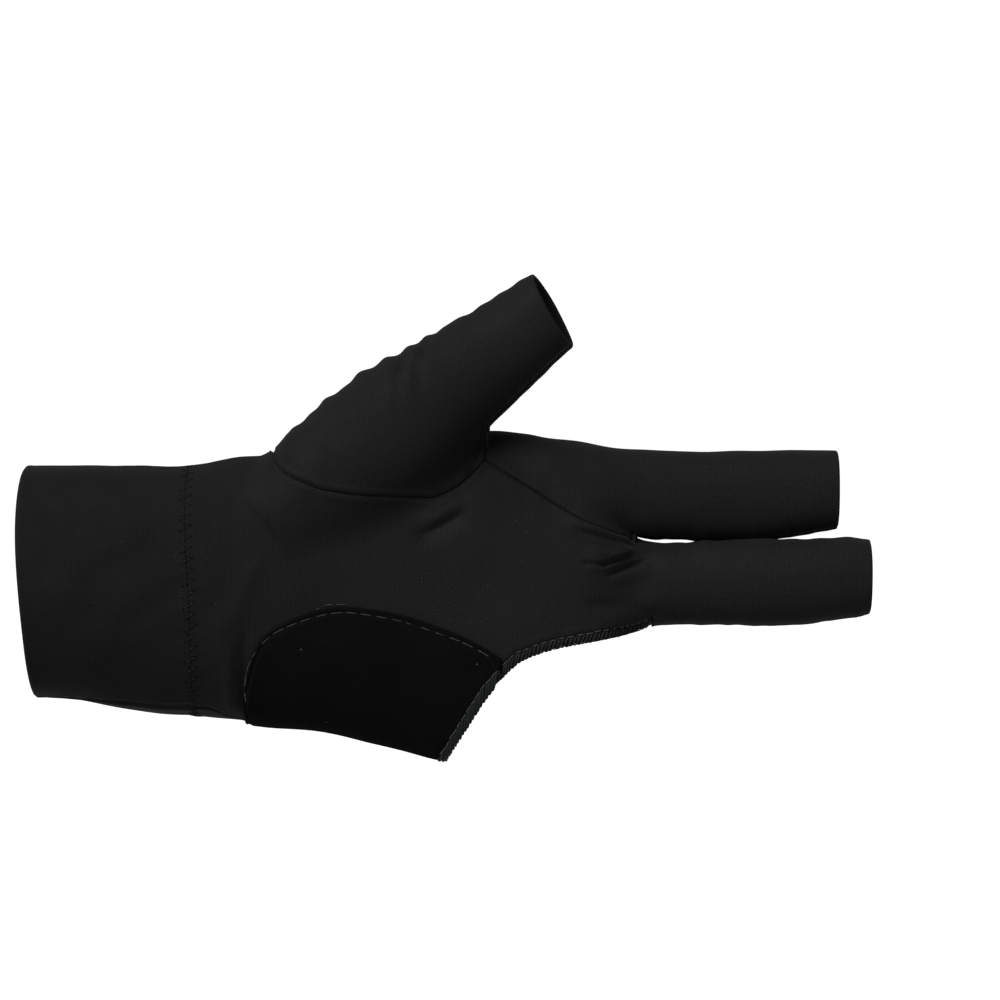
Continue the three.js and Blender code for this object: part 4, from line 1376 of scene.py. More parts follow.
def needle_hole_shade():
    """Painted shade for the needle holes: nearly black blobs that show as black spots at the zigzag's turns,
    where there is only the shade of the holes.
    """
    return thread_material("Black thread", HOLE_SHADE_DARK, HOLE_SHADE_LIGHT, sheen=0.0, specular=0.02)


def band_shade_material():
    """For the hem's band under the loops, darker than they are: painted shade in the gaps between the loops.
    """
    look = bpy.context.scene.glove_cloth
    # Painted shade: the band is darkened to four tenths of the loops' colour.
    deep = tuple(part * 0.4 for part in look.hem_dark)
    return thread_material("Hem band", deep, look.hem_dark, sheen=0.0, specular=0.1)


def light_thread():
    """For the patch's running stitches and the hem's chain."""
    look = bpy.context.scene.glove_cloth
    return thread_material("Grey thread", look.light_thread, look.light_fleck, sheen=0.2)


# Pieces.


CLOSE_OPENING = (0.04, 0.12, 0.24, 0.4)
CLOSE_SEAM = (0.05, 0.14, 0.28, 0.46)
CLOSE_FOLD = (0.05, 0.16, 0.34, 0.6, 0.9)
CLOSE_PATCH = (0.05, 0.15, 0.3)
CUFF_SEAM = {"deep": 0.1, "wide": 0.3, "ridge": 0.03, "pucker": 0.07, "pitch": 5, "far": 5}
CUFF_COLUMNS = 256
PANEL_COLUMNS = 112
PATCH_COLUMNS = 90
INDEX_COLUMNS = 118
THUMB_COLUMNS = 74
CREASED = FINGER_CROTCH - 17
PANEL_STATIONS = np.unique(
    np.concatenate(
        [
            stations(CUFF_LENGTH + SEAM_GAP / 2, PATCH_START, CORNER, step=0.7, close_first=CLOSE_SEAM),
            stations(CORNER, HEM_START - SEAM_GAP, step=0.7),
            stations(HEM_START, CUT_START, THUMB_CROTCH, PATCH_END, CREASED, step=0.62),
            stations(CREASED, FINGER_CROTCH, CUT_END, step=0.38),
            stations(CUT_END + SEAM_GAP, OPENING, step=0.72, close_last=CLOSE_OPENING),
        ]
    )
)


def across_seam(edge, x):
    """Share by which a distance along a row is more than the distance from a slanting seam."""
    return 1 / steepness(edge, x)


def upper_slant(x):
    """The same for the palm's and back's upper seam."""
    slant = np.where(x < THUMB_CROTCH, across_seam(THUMB_SEAM, x), across_seam(INDEX_SEAM, x))
    return np.where(under_thumb(x), slant, 1)


def lower_slant(x):
    return np.where(on_cut_out(x), across_seam(CUT_OUT, np.maximum(x, CUT_START)), 1)


def panel(cloth, x, relief):
    """A hand panel's sewing: the cuff's seam, the side and sleeve seams, and the opening of the middle
    finger."""
    sewn = Sewn(cloth, relief, CLOTH_WALL)
    sewn.seam(cloth.first, cloth.low, 3, **CUFF_SEAM)
    upper = cloth.high * upper_slant(x)[:, None]
    lower = cloth.low * lower_slant(x)[:, None]
    sewn.seam(upper, cloth.x, 4, pucker=0.12)
    sewn.seam(lower, cloth.x, 5, ridge=0.08)
    sewn.opening(cloth.last)
    return sewn


class GLOVE_OT_cuff(Operator):
    """Double band of plain cloth round the wrist, folded at the mouth."""

    bl_idname = "glove.cuff"
    bl_label = "Cuff"

    def execute(self, context):
        shares = stations(0, CUFF_LENGTH, step=0.6, close_first=CLOSE_FOLD, close_last=CLOSE_SEAM)
        around = np.linspace(0, 360, CUFF_COLUMNS + 1)
        angle = np.broadcast_to(around, (len(shares), CUFF_COLUMNS + 1))
        mouth = MOUTH_SLANT / 2 * np.cos(angle * RADIAN) - MOUTH_BOW * np.sin(angle * RADIAN) ** 2
        x = mix(mouth, CUFF_LENGTH - SEAM_GAP / 2, shares[:, None] / CUFF_LENGTH)
        x = x + seam_drift(x, angle)
        points = hand_point(x, angle)
        across = run_along(points, 1)
        cloth = Cloth(points, hand_apart(x), across, across[:, -1])
        relief = palm_folds(cloth) + slack(cloth)
        for seam in (low_seam(x), high_seam(x), 360 + low_seam(x)):
            beside = np.abs(angle - seam) * RADIAN * 25
            relief = relief - 0.6 * np.exp(-((beside / 0.4) ** 2)) + lip(beside, 0.16, 1.1, 0.6)
        sewn = Sewn(cloth, relief, CUFF_WALL)
        sewn.seam(cloth.last, across, 3, **CUFF_SEAM)
        sewn.opening(cloth.first, swell=0.15)
        outer, inner = sewn.grids()
        mesh = shell("Cuff", outer[:, :-1], inner[:, :-1], cloth.uv, ring=True)
        piece = place("Cuff", mesh, cloth_material(), "cloth", "cuff")
        return {"FINISHED"}


class GLOVE_OT_panels(Operator):
    """Palm and back of the hand, which run on into the two halves of the middle finger's sleeve."""

    bl_idname = "glove.panels"
    bl_label = "Palm and back"

    def execute(self, context):
        x = PANEL_STATIONS
        sides = palm_low(x, HEM_CLEAR), palm_high(x)
        palm = hand_cloth(x, *sides, PANEL_COLUMNS, jumps=(CUT_END, FINGER_CROTCH))
        sewn = panel(palm, x, palm_folds(palm) + slack(palm) + press(palm, 1))
        piece = place("Palm", shell("Palm", *sewn.grids(), palm.uv), cloth_material(), "cloth", "palm_panel")
        sides = back_high(x), back_low(x, HEM_CLEAR)
        back = hand_cloth(x, *sides, PANEL_COLUMNS, facing=270, jumps=(FINGER_CROTCH, CUT_END))
        # The back's rows run down from the upper seam, so its two sides change places for the sewing.
        back.low, back.high = back.high, back.low
        sewn = panel(back, x, slack(back, 0.16) + press(back, 1))
        piece = place("Back", shell("Back", *sewn.grids(), back.uv), cloth_material(), "cloth", "back_panel")
        return {"FINISHED"}


class GLOVE_OT_patch(Operator):
    """Velvet-like patch on the heel of the hand, soft at its edge and drawn in along its stitches."""

    bl_idname = "glove.patch"
    bl_label = "Heel patch"

    def execute(self, context):
        ends = PATCH_START, HEM_START - SEAM_GAP, HEM_START, CUT_START, PATCH_END
        x = stations(*ends, step=0.5, close_first=CLOSE_PATCH)
        low = palm_low(x, HEM_CLEAR)
        edge = palm_angle(x, edge_at(PATCH_EDGE, x))
        high = np.maximum(edge, low + 0.6)
        cloth = hand_cloth(x, low, high, PATCH_COLUMNS)
        upper = np.minimum(cloth.high * across_seam(PATCH_EDGE, x)[:, None], cloth.first)
        rim = -sunk(upper, 0.9, 1.0) - 0.4 * np.exp(-(((upper - 1.2) / 0.55) ** 2))
        rim = rim - sunk(cloth.low, 0.7, 0.5)
        waver = gathers(cloth.x + cloth.z, upper, 5, 0.12, 3, 11)
        base = palm_folds(cloth) + slack(cloth)
        top = base + PATCH_LIFT + PATCH_WALL + rim + waver
        bottom = base + PATCH_LIFT
        grids = [cloth.points + cloth.normals * height[..., None] for height in (top, bottom)]
        mesh = shell("Heel_patch", *grids, cloth.uv)
        piece = place("Heel_patch", mesh, patch_material(), "patch", "heel_patch")
        return {"FINISHED"}


class GLOVE_OT_index(Operator):
    """Index finger's sleeve, one piece wrapped round the finger with its seam along the lower edge."""

    bl_idname = "glove.index"
    bl_label = "Index sleeve"

    def execute(self, context):
        start = THUMB_CROTCH + SEAM_GAP / 2
        x = stations(
            start,
            FINGER_CROTCH,
            FINGER_CROTCH + SEAM_GAP,
            FINGER_CROTCH + INDEX_LENGTH,
            step=0.55,
            close_first=CLOSE_SEAM,
            close_last=CLOSE_OPENING,
        )
        height = seam_height(x, 1)
        low = angle_at(lambda angle: index_point(x, angle)[..., 2], height, 0, 180)
        back = angle_at(lambda angle: index_point(x, 360 - angle)[..., 2], height, 0, 180)
        # Past the crotch the seam's place on the hand is kept as it is there.
        last_on_hand = np.flatnonzero(x <= FINGER_CROTCH)[-1]
        low[last_on_hand:], back[last_on_hand:] = low[last_on_hand], back[last_on_hand]
        past = x > FINGER_CROTCH + SEAM_GAP / 2
        open_up = ramp((x - FINGER_CROTCH) / SEAM_WAY)
        first = mix(low, SLEEVE_SEAM_TURN + GAP_TURN, open_up)
        last = mix(360 - back, 360 + SLEEVE_SEAM_TURN - GAP_TURN, open_up)
        cloth = index_cloth(x, first, last, INDEX_COLUMNS)
        sewn = Sewn(cloth, palm_folds(cloth) + slack(cloth) + press(cloth, -1) + crown(cloth), CLOTH_WALL)
        slant = np.where(past, 1, across_seam(INDEX_SEAM, x))[:, None]
        sewn.seam(cloth.low * slant, cloth.x, 21, ridge=0.1, pucker=0.1)
        sewn.seam(cloth.high * slant, cloth.x, 22, ridge=0.08, pucker=0.1)
        sewn.seam(cloth.first, cloth.low, 23, pucker=0.1)
        sewn.opening(cloth.last)
        mesh = shell("Index_sleeve", *sewn.grids(), cloth.uv)
        piece = place("Index_sleeve", mesh, cloth_material(), "cloth", "index_sleeve")
        return {"FINISHED"}


CROTCH_S = thumb_s(*CROTCH)
CORNER_S = thumb_s(CORNER, edge_at(THUMB_SEAM, CORNER))


def thumb_puckers(cloth):
    """Gathers along the thumb's outer seam, each a Gaussian along it that dies out as it runs in."""
    s, w = thumb_s(cloth.x, cloth.z), thumb_w(cloth.x, cloth.z)
    aside = w + thumb_section(s)[1]
    height = np.zeros_like(s)
    for along, wide, far, slant, lift in PUCKERS:
        off = (s - along * THUMB_LENGTH + aside * slant) / (wide * THUMB_LENGTH)
        height += lift * np.exp(-(off**2) - (aside / (far * THUMB_HEIGHT)) ** 2)
    return height * PUCKER_HEIGHT


def thumb_inner(side):
    return 180 - side * SLEEVE_SEAM_TURN - GAP_TURN


def thumb_base():
    """Ends of the thumb's rows on its base seam, half a gap inside it, and then up to the crotch."""
    x = stations(CORNER + 0.4, THUMB_CROTCH, step=0.55)[:-1]
    slope = slope_of(THUMB_SEAM, x)
    off = SEAM_GAP / 2 / np.hypot(1, slope)
    seam = np.stack([x - slope * off, edge_at(THUMB_SEAM, x) + off], axis=-1)
    rise = stations(edge_at(THUMB_SEAM, THUMB_CROTCH) + SEAM_GAP, CROTCH[1], step=0.55)
    side = np.stack([np.full_like(rise, THUMB_CROTCH - SEAM_GAP / 2), rise], axis=-1)
    return np.concatenate([seam, side])


def thumb_on_hand(side):
    """Rows of one half of the sleeve on the hand, from the outer seam to the base seam."""
    end = thumb_base()
    run = run_along(end, 0)
    share = run / run[-1]
    s = mix(CORNER_S, CROTCH_S, share)
    _, half, forward, _ = thumb_section(s)
    start = np.stack(thumb_point(s, -half), axis=-1)
    way = unit(end - start)
    middle = (start + end) / 2
    centre = np.stack([middle[:, 0], forward * ramp(share * THUMB_SETTLE), middle[:, 1]], axis=-1)
    past = np.sum(end * way, axis=-1)
    zero = np.zeros(len(end))
    # Near the crotch the rays start further back as they turn, so that the crease under the thumb doesn't
    # hide the seam.
    back_off = THUMB_BACK_OFF * between(share, *BACK_OFF_WAY) * (side > 0)

    def apart_at(angle):
        return parted(angle.shape, past_x=way[:, :1], past_z=way[:, 1:], past=past[:, None])

    def point_at(angle):
        c, d = np.cos(angle * RADIAN), np.sin(angle * RADIAN)
        rays = np.stack([-c * way[:, :1], -side * d, -c * way[:, 1:]], axis=-1)
        start = np.broadcast_to(centre[:, None], rays.shape).copy()
        start[..., 1] += back_off[:, None] * (1 - c) / 2
        return reach(start, rays, apart_at(angle))

    def reached(angle):
        points = point_at(angle[:, None])[:, 0]
        return points[:, 0] * way[:, 0] + points[:, 2] * way[:, 1] - past

    stop = angle_at(reached, zero - END_NEAR, GAP_TURN, 180 - GAP_TURN)
    stop[-1] = thumb_inner(side)
    return lay_rows(point_at, apart_at, zero + GAP_TURN, stop, THUMB_COLUMNS)


def thumb_on_finger(side):
    """Rows of one half of the sleeve past the crotch, which lean more and more towards the slanted
    opening."""
    length = THUMB_LENGTH - CROTCH_S
    share = stations(0, length, step=0.55, close_last=CLOSE_OPENING)[1:] / length

    def along(angle):
        c, d = np.cos(angle * RADIAN), np.sin(angle * RADIAN)
        return mix(CROTCH_S, THUMB_LENGTH + THUMB_SLANT * c - THUMB_LEAN * side * d, share[:, None])

    def apart_at(angle):
        off = PART_OFF * ramp((along(angle) - CROTCH_S) / PART_WAY)
        return parted(angle.shape, hand=off, index=off, middle=off)

    def point_at(angle):
        c, d = np.cos(angle * RADIAN), np.sin(angle * RADIAN)
        s = along(angle)
        x, z = thumb_point(s, 0)
        start = np.stack([x, thumb_section(s)[2], z], axis=-1)
        rays = np.stack([-c * ALONG_THUMB[1], -side * d, c * ALONG_THUMB[0]], axis=-1)
        return reach(start, rays, apart_at(angle))

    zero = np.zeros(len(share))
    return lay_rows(point_at, apart_at, zero + GAP_TURN, zero + thumb_inner(side), THUMB_COLUMNS)


def joined(first, second):
    """One cloth from two whose rows follow each other."""
    cloth = Cloth.__new__(Cloth)
    for name in ("points", "normals", "low", "high", "uv"):
        setattr(cloth, name, np.concatenate([getattr(first, name), getattr(second, name)]))
    cloth.first = run_along(cloth.points, 0)
    cloth.last = cloth.first[-1:] - cloth.first
    cloth.x, cloth.z = cloth.points[..., 0], cloth.points[..., 2]
    cloth.uv[..., 1] = cloth.first / UV_UNIT
    return cloth


class GLOVE_OT_thumb(Operator):
    """Thumb's sleeve in two halves, with a puckered seam along its outer edge and a flat one along its
    inner edge."""

    bl_idname = "glove.thumb"
    bl_label = "Thumb sleeve"

    def execute(self, context):
        for name, node, side in (("Thumb_palm", "thumb_palm_half", 1), ("Thumb_back", "thumb_back_half", -1)):
            on_hand, on_finger = thumb_on_hand(side), thumb_on_finger(side)
            cloth = joined(on_hand, on_finger)
            s = thumb_s(cloth.x, cloth.z)
            relief = thumb_puckers(cloth) + slack(cloth)
            if side > 0:
                relief = relief + palm_folds(cloth)
            sewn = Sewn(cloth, relief, CLOTH_WALL)
            sewn.seam(cloth.low, s, 31, deep=0.65, ridge=0.14, pucker=0.3, pitch=3.6, far=2.6)
            base = len(on_hand.points)
            near_base = np.where(np.arange(len(cloth.points))[:, None] < base, 1.0, 0.8)
            sewn.seam(cloth.high * near_base, s, 32 if side > 0 else 33, ridge=0.2, pucker=0.1)
            sewn.opening(cloth.last)
            mesh = shell(name, *sewn.grids(), cloth.uv)
            piece = place(name, mesh, cloth_material(), "cloth", node)
        return {"FINISHED"}


class Strip:
    """Narrow strip of skin along the cut-out, read at a run along it, a distance in from the edge and a
    height."""

    SPOTS = 7

    def __init__(self, x, angles, far):
        low, high = angles
        share = np.linspace(0, 1, self.SPOTS)
        place = np.broadcast_to(x[:, None], (len(x), self.SPOTS))
        turned = mix(low[:, None], high[:, None], share)
        self.points = hand_point(place, turned)
        self.normals = outward(self.points, hand_apart(place))
        self.run = run_along(self.points[:, 0], 0)
        self.far = far
        self.x = x

    def at(self, run, inward, height):
        """Point at a run along, a distance in and a height over the skin, by straight lines between the
        samples."""
        row = np.interp(run, self.run, np.arange(len(self.run)))
        column = np.broadcast_to(inward / self.far * (self.SPOTS - 1), row.shape)
        i = np.clip(row.astype(int), 0, len(self.run) - 2)
        j = np.clip(column.astype(int), 0, self.SPOTS - 2)
        t, u = (row - i)[..., None], (column - j)[..., None]

        def read(grid):
            first = mix(grid[i, j], grid[i + 1, j], t)
            return first + (mix(grid[i, j + 1], grid[i + 1, j + 1], t) - first) * u

        normal = unit(read(self.normals))
        return read(self.points) + normal * np.broadcast_to(height, row.shape)[..., None], normal


def hem_section(turn, wide, thick, grow=0.0):
    """Rounded section of a hem at turns in radians: distance in from the edge and height from its middle."""
    power = 0.75
    across = np.sign(np.cos(turn)) * np.abs(np.cos(turn)) ** power * (wide / 2 + grow)
    up = np.sign(np.sin(turn)) * np.abs(np.sin(turn)) ** power * (thick / 2 + grow)
    return wide / 2 + across, up


def hem_band(name, strip, top, thick, wide):
    """The hem's own band: its section carried along the strip, closed and rounded at both ends."""
    length = strip.run[-1]
    ends = [0.05, 0.2, length - 0.2, length - 0.05, length]
    run = np.unique(np.concatenate([np.arange(0, length, 0.4), ends]))
    sides = 18
    turn = 2 * np.pi * np.arange(sides) / sides
    inward, up = hem_section(turn[None], wide, thick)
    end = np.minimum(run, length - run)
    shrink = np.sqrt(np.clip(1 - (1 - np.minimum(end / 0.2, 1)) ** 2, 0.05, 1))[:, None]
    middle = top - thick / 2
    swell = 1 + 0.06 * wander(run[:, None], 1.6, 41)
    points, _ = strip.at(
        np.broadcast_to(run[:, None], (len(run), sides)),
        wide / 2 + (inward - wide / 2) * shrink * swell,
        middle + up * shrink * swell,
    )
    rows = len(run)
    i, j = (g.ravel() for g in np.meshgrid(np.arange(rows - 1), np.arange(sides), indexing="ij"))
    here, beside = i * sides + j, i * sides + (j + 1) % sides
    quads = np.stack([here, beside, beside + sides, here + sides], axis=1)
    caps = [np.arange(sides)[None, ::-1], (rows - 1) * sides + np.arange(sides)[None]]
    round_uv = np.stack([j, j + 1, j + 1, j], axis=1) / sides
    along = np.stack([run[i], run[i], run[i + 1], run[i + 1]], axis=1)
    uvs = [np.stack([round_uv, along], axis=-1), np.zeros((1, sides, 2)), np.zeros((1, sides, 2))]
    return closed_mesh(name, points.reshape(-1, 3), [quads, *caps], uvs)


def hem_loops(name, strip, top, thick, wide, pitch, radius, seed):
    """Overlocked thread: a loop over the hem at each pitch, leaning along it, from its inner side round
    its edge."""
    source = np.random.default_rng(seed)
    length = strip.run[-1]
    count = int((length - 0.8) / pitch)
    start = 0.4 + pitch * (np.arange(count) + source.uniform(-0.15, 0.15, count))
    points = 10
    turn = mix(-0.35, np.pi * 1.35, np.linspace(0, 1, points))
    inward, up = hem_section(turn, wide, thick, radius * 0.75)
    lean = mix(1.6, -1.2, np.linspace(0, 1, points))
    run = np.clip(start[:, None] + lean, 0, length)
    scale = 1 + source.uniform(-0.03, 0.05, count)[:, None]
    paths, normals = strip.at(run, np.broadcast_to(inward, run.shape), top - thick / 2 + up * scale)
    return tubes(name, paths, normals, radius * source.uniform(0.85, 1.15, count), sides=5)


def hem_chain(name, strip, top, wide, radius, seed):
    """Line of short stitches along the hem's inner side."""
    source = np.random.default_rng(seed)
    length = strip.run[-1]
    pitch = 2.1
    count = int((length - 1) / pitch)
    start = 0.5 + pitch * np.arange(count)
    t = np.linspace(0, 1, 7)
    run = start[:, None] + 1.7 * t + source.uniform(-0.1, 0.1, (count, 1))
    height = top + mix(-0.25, 0.12, np.sin(np.pi * t) ** 0.6)
    inward = wide + 0.18 + source.uniform(-0.08, 0.08, (count, 1)) + 0.0 * t
    paths, normals = strip.at(np.clip(run, 0, length), inward, np.broadcast_to(height, run.shape))
    return tubes(name, paths, normals, radius, sides=6)


class GLOVE_OT_hems(Operator):
    """Overlocked edge of the cut-out, thin at the palm and the back and thick along the patch."""

    bl_idname = "glove.hems"
    bl_label = "Hems"

    def execute(self, context):
        far = HEM_WIDTH * 1.3
        for name, node, start, end, low_side, top, pitch, radius in (
            ("Patch_hem", "patch_hem", HEM_START, PATCH_END, True, PATCH_LIFT + PATCH_WALL + 0.2, 1.15, 0.27),
            ("Palm_hem", "palm_hem", PATCH_END + SEAM_GAP, CUT_END, True, HEM_PROUD, 0.95, 0.2),
            ("Back_hem", "back_hem", HEM_START, CUT_END, False, HEM_PROUD, 0.95, 0.2),
        ):
            x = stations(start, end, step=0.4)
            angles = (palm_low(x, 0), palm_low(x, far)) if low_side else (back_low(x, 0), back_low(x, far))
            strip = Strip(x, angles, far)
            under, thick = top - radius, HEM_WALL - radius
            band = hem_band(name, strip, under, thick, HEM_WIDTH)
            place(name, band, band_shade_material(), "hem", node)
            loops = hem_loops(f"{name}_loops", strip, under, thick, HEM_WIDTH, pitch, radius, 51)
            place(f"{name}_loops", loops, hem_material(), "hem")
            chain = hem_chain(f"{name}_chain", strip, top - 0.1, HEM_WIDTH, 0.13, 52)
            place(f"{name}_chain", chain, light_thread(), "hem")
        return {"FINISHED"}


LINE_SAMPLES = 400
LINE_SOFT = 14


def on_palm(x, z):
    """Points of the palm's skin and their normals at places seen from the palm."""
    points = hand_point(x, palm_angle(x, z))
    return points, outward(points, hand_apart(x))


def stitch_line(path):
    """Length of a smooth line through places seen from the palm, and X and Z in millimetres at a run along
    it."""
    share = np.linspace(0, 1, len(path))
    fine = np.linspace(0, 1, LINE_SAMPLES)
    x = along_hand(evened_out(smooth(share, path[:, 0], fine), LINE_SOFT))
    z = HAND_HEIGHT * evened_out(smooth(share, path[:, 1], fine), LINE_SOFT)
    run = np.concatenate([[0], np.cumsum(np.hypot(np.diff(x), np.diff(z)))])
    return run[-1], lambda at: (np.interp(at, run, x), np.interp(at, run, z))


def running_stitches(name, path, long, gap, base, radius, seed):
    """Row of separate stitches along a line seen from the palm, each a low arc that dips into the cloth at
    both ends."""
    source = np.random.default_rng(seed)
    length, where = stitch_line(path)
    pitch = long + gap
    count = max(int(length / pitch), 1)
    start = pitch * np.arange(count) + source.uniform(-0.15, 0.15, count)
    t = np.linspace(0, 1, 9)
    run = start[:, None] + long * (1 + source.uniform(-0.1, 0.1, (count, 1))) * t
    x, z = where(np.clip(run, 0, length))
    points, normals = on_palm(x, z)
    arc = mix(-0.12, 0.13, np.clip(np.sin(np.pi * t) * 4, 0, 1) ** 0.7)
    height = base(x, z) + slack_at(points) + arc
    return tubes(name, points + normals * height[..., None], normals, radius, sides=8)


class GLOVE_OT_patch_stitches(Operator):
    """Light grey running stitches just inside the patch's edge, with a second short run outside it."""

    bl_idname = "glove.patch_stitches"
    bl_label = "Patch stitches"

    def execute(self, context):
        def over_patch(x, z):
            return folds(x, z) + PATCH_LIFT + PATCH_WALL - 0.42

        first = running_stitches("Patch_stitches", PATCH_STITCHES, 3.0, 0.45, over_patch, 0.09, 61)
        place("Patch_stitches", first, light_thread(), "patch")
        second = running_stitches("Patch_second_run", SECOND_RUN, 2.4, 0.6, folds, 0.085, 62)
        place("Patch_second_run", second, light_thread(), "patch")
        return {"FINISHED"}


ZIGZAG_LEG = 1.25
ZIGZAG_HALF = 1.2
ZIGZAG_RADIUS = 0.1
HOLE_HALF = 0.22
HOLE_RADIUS = 0.28


class GLOVE_OT_zigzag(Operator):
    """Zigzag stitching over the seam between the cuff and the hand."""

    bl_idname = "glove.zigzag"
    bl_label = "Cuff zigzag"

    def execute(self, context):
        angle = np.linspace(0, 360, 721)
        x = np.full_like(angle, CUFF_LENGTH)
        points = hand_point(x + seam_drift(x, angle), angle)
        run = run_along(points, 0)
        legs = 2 * round(run[-1] / ZIGZAG_LEG / 2)
        t = np.linspace(0, 1, 9)
        leg = np.arange(legs)[:, None]
        turned = np.interp((leg + t) / legs * run[-1], run, angle)
        side = np.where(leg % 2 == 0, 1, -1)
        off = side * mix(-ZIGZAG_HALF, ZIGZAG_HALF, t)
        place_x = CUFF_LENGTH + seam_drift(np.full_like(turned, CUFF_LENGTH), turned) + off
        path, normals, base = self.laid(place_x, turned)
        height = base + mix(-0.1, 0.1, np.clip(np.sin(np.pi * t) * 2, 0, 1) ** 0.7)
        mesh = tubes("Cuff_zigzag", path + normals * height[..., None], normals, ZIGZAG_RADIUS, sides=8)
        place("Cuff_zigzag", mesh, dark_thread(), "cloth")
        # Painted shade: nearly black blobs sunk into the needle holes at the zigzag's turns.
        dip_x, dip_turn = place_x[:, :1] - 0.05 * side, turned[:, :1]
        spot = np.linspace(-HOLE_HALF, HOLE_HALF, 5)
        path, normals, base = self.laid(dip_x + spot, dip_turn + 0 * spot)
        path = path + normals * (base - 0.1)[..., None]
        mesh = tubes("Cuff_needle_holes", path, normals, HOLE_RADIUS, sides=8)
        place("Cuff_needle_holes", mesh, needle_hole_shade(), "cloth")
        return {"FINISHED"}

    @staticmethod
    def laid(x, angle):
        """Points on the skin at places round the seam, with their normals and the height of the folds
        there."""
        points = hand_point(x, angle)
        normals = outward(points, hand_apart(x))
        shown = ramp(-normals[..., 1] * SIDE_FADE)
        return points, normals, folds(points[..., 0], points[..., 2]) * shown + slack_at(points)


CAMERA_PLACE = (0.10787, -0.85, 0.01863)
CAMERA_LENS = 133.04
FLOOR_HALF = 6000
FLOOR_DROP = 130


class GLOVE_OT_studio(Operator):
    """Plain pale floor, soft studio light and the camera at the photograph's viewing angle."""

    bl_idname = "glove.studio"
    bl_label = "Studio"

    def execute(self, context):
        studio = context.scene.glove_studio
        self.floor(studio)
        self.world(studio)
        self.lamp("Key_light", (-0.6, -0.72, 0.72), studio.key, studio.soft)
        self.lamp("Fill_light", (0.8, -0.6, 0.2), studio.fill, studio.soft)
        data = bpy.data.cameras.new("Camera")
        data.sensor_width = 36
        data.lens = CAMERA_LENS
        data.clip_start = 0.01
        camera = bpy.data.objects.new("Camera", data)
        camera.location = CAMERA_PLACE
        camera.rotation_euler = (np.pi / 2, 0, 0)
        context.collection.objects.link(camera)
        context.scene.camera = camera
        context.scene.view_settings.view_transform = "Standard"
        return {"FINISHED"}

    @staticmethod
    def floor(studio):
        corners = ((-1, -1), (1, -1), (1, 1), (-1, 1))
        points = np.array([[a * FLOOR_HALF, b * FLOOR_HALF, -FLOOR_DROP] for a, b in corners], float)
        mesh = make_mesh("Floor", points, [np.array([[0, 1, 2, 3]])])
        floor = bpy.data.objects.new("Floor", mesh)
        bpy.context.collection.objects.link(floor)
        material = bpy.data.materials.new("Pale floor")
        material.use_nodes = True
        wire = Wiring(material.node_tree)
        shader = material.node_tree.nodes["Principled BSDF"]
        shader.inputs["Roughness"].default_value = 0.9
        places = material.node_tree.nodes.new("ShaderNodeTexCoord")
        grain = wire.noise(places.outputs["Object"], 60.0, 3.0)
        pale = tuple(studio.floor)
        seen = material.node_tree.nodes.new("ShaderNodeLightPath").outputs["Is Camera Ray"]
        paper = wire.tint(grain, (*pale, 1), (*[min(c * 1.02, 1) for c in pale], 1))
        wire.feed(shader.inputs["Base Color"], wire.tint(seen, (*[studio.bounce] * 3, 1), paper))
        mesh.materials.append(material)

    @staticmethod
    def world(studio):
        world = bpy.data.worlds.new("Studio")
        world.use_nodes = True
        shade = world.node_tree.nodes["Background"]
        wire = Wiring(world.node_tree)
        seen = world.node_tree.nodes.new("ShaderNodeLightPath").outputs["Is Camera Ray"]
        shade.inputs["Color"].default_value = (1, 1, 1, 1)
        wire.feed(shade.inputs["Strength"], wire.ranged(seen, 0.0, 1.0, studio.surround, 1.05))
        bpy.context.scene.world = world

    @staticmethod
    def lamp(name, way, power, soft):
        """Soft parallel light that comes from a direction."""
        data = bpy.data.lights.new(name, "SUN")
        data.energy = power
        data.angle = soft
        lamp = bpy.data.objects.new(name, data)
        flat = np.hypot(way[0], way[1])
        lamp.rotation_euler = (np.pi / 2 - np.arctan2(way[2], flat), 0, np.arctan2(way[0], -way[1]))
        bpy.context.collection.objects.link(lamp)


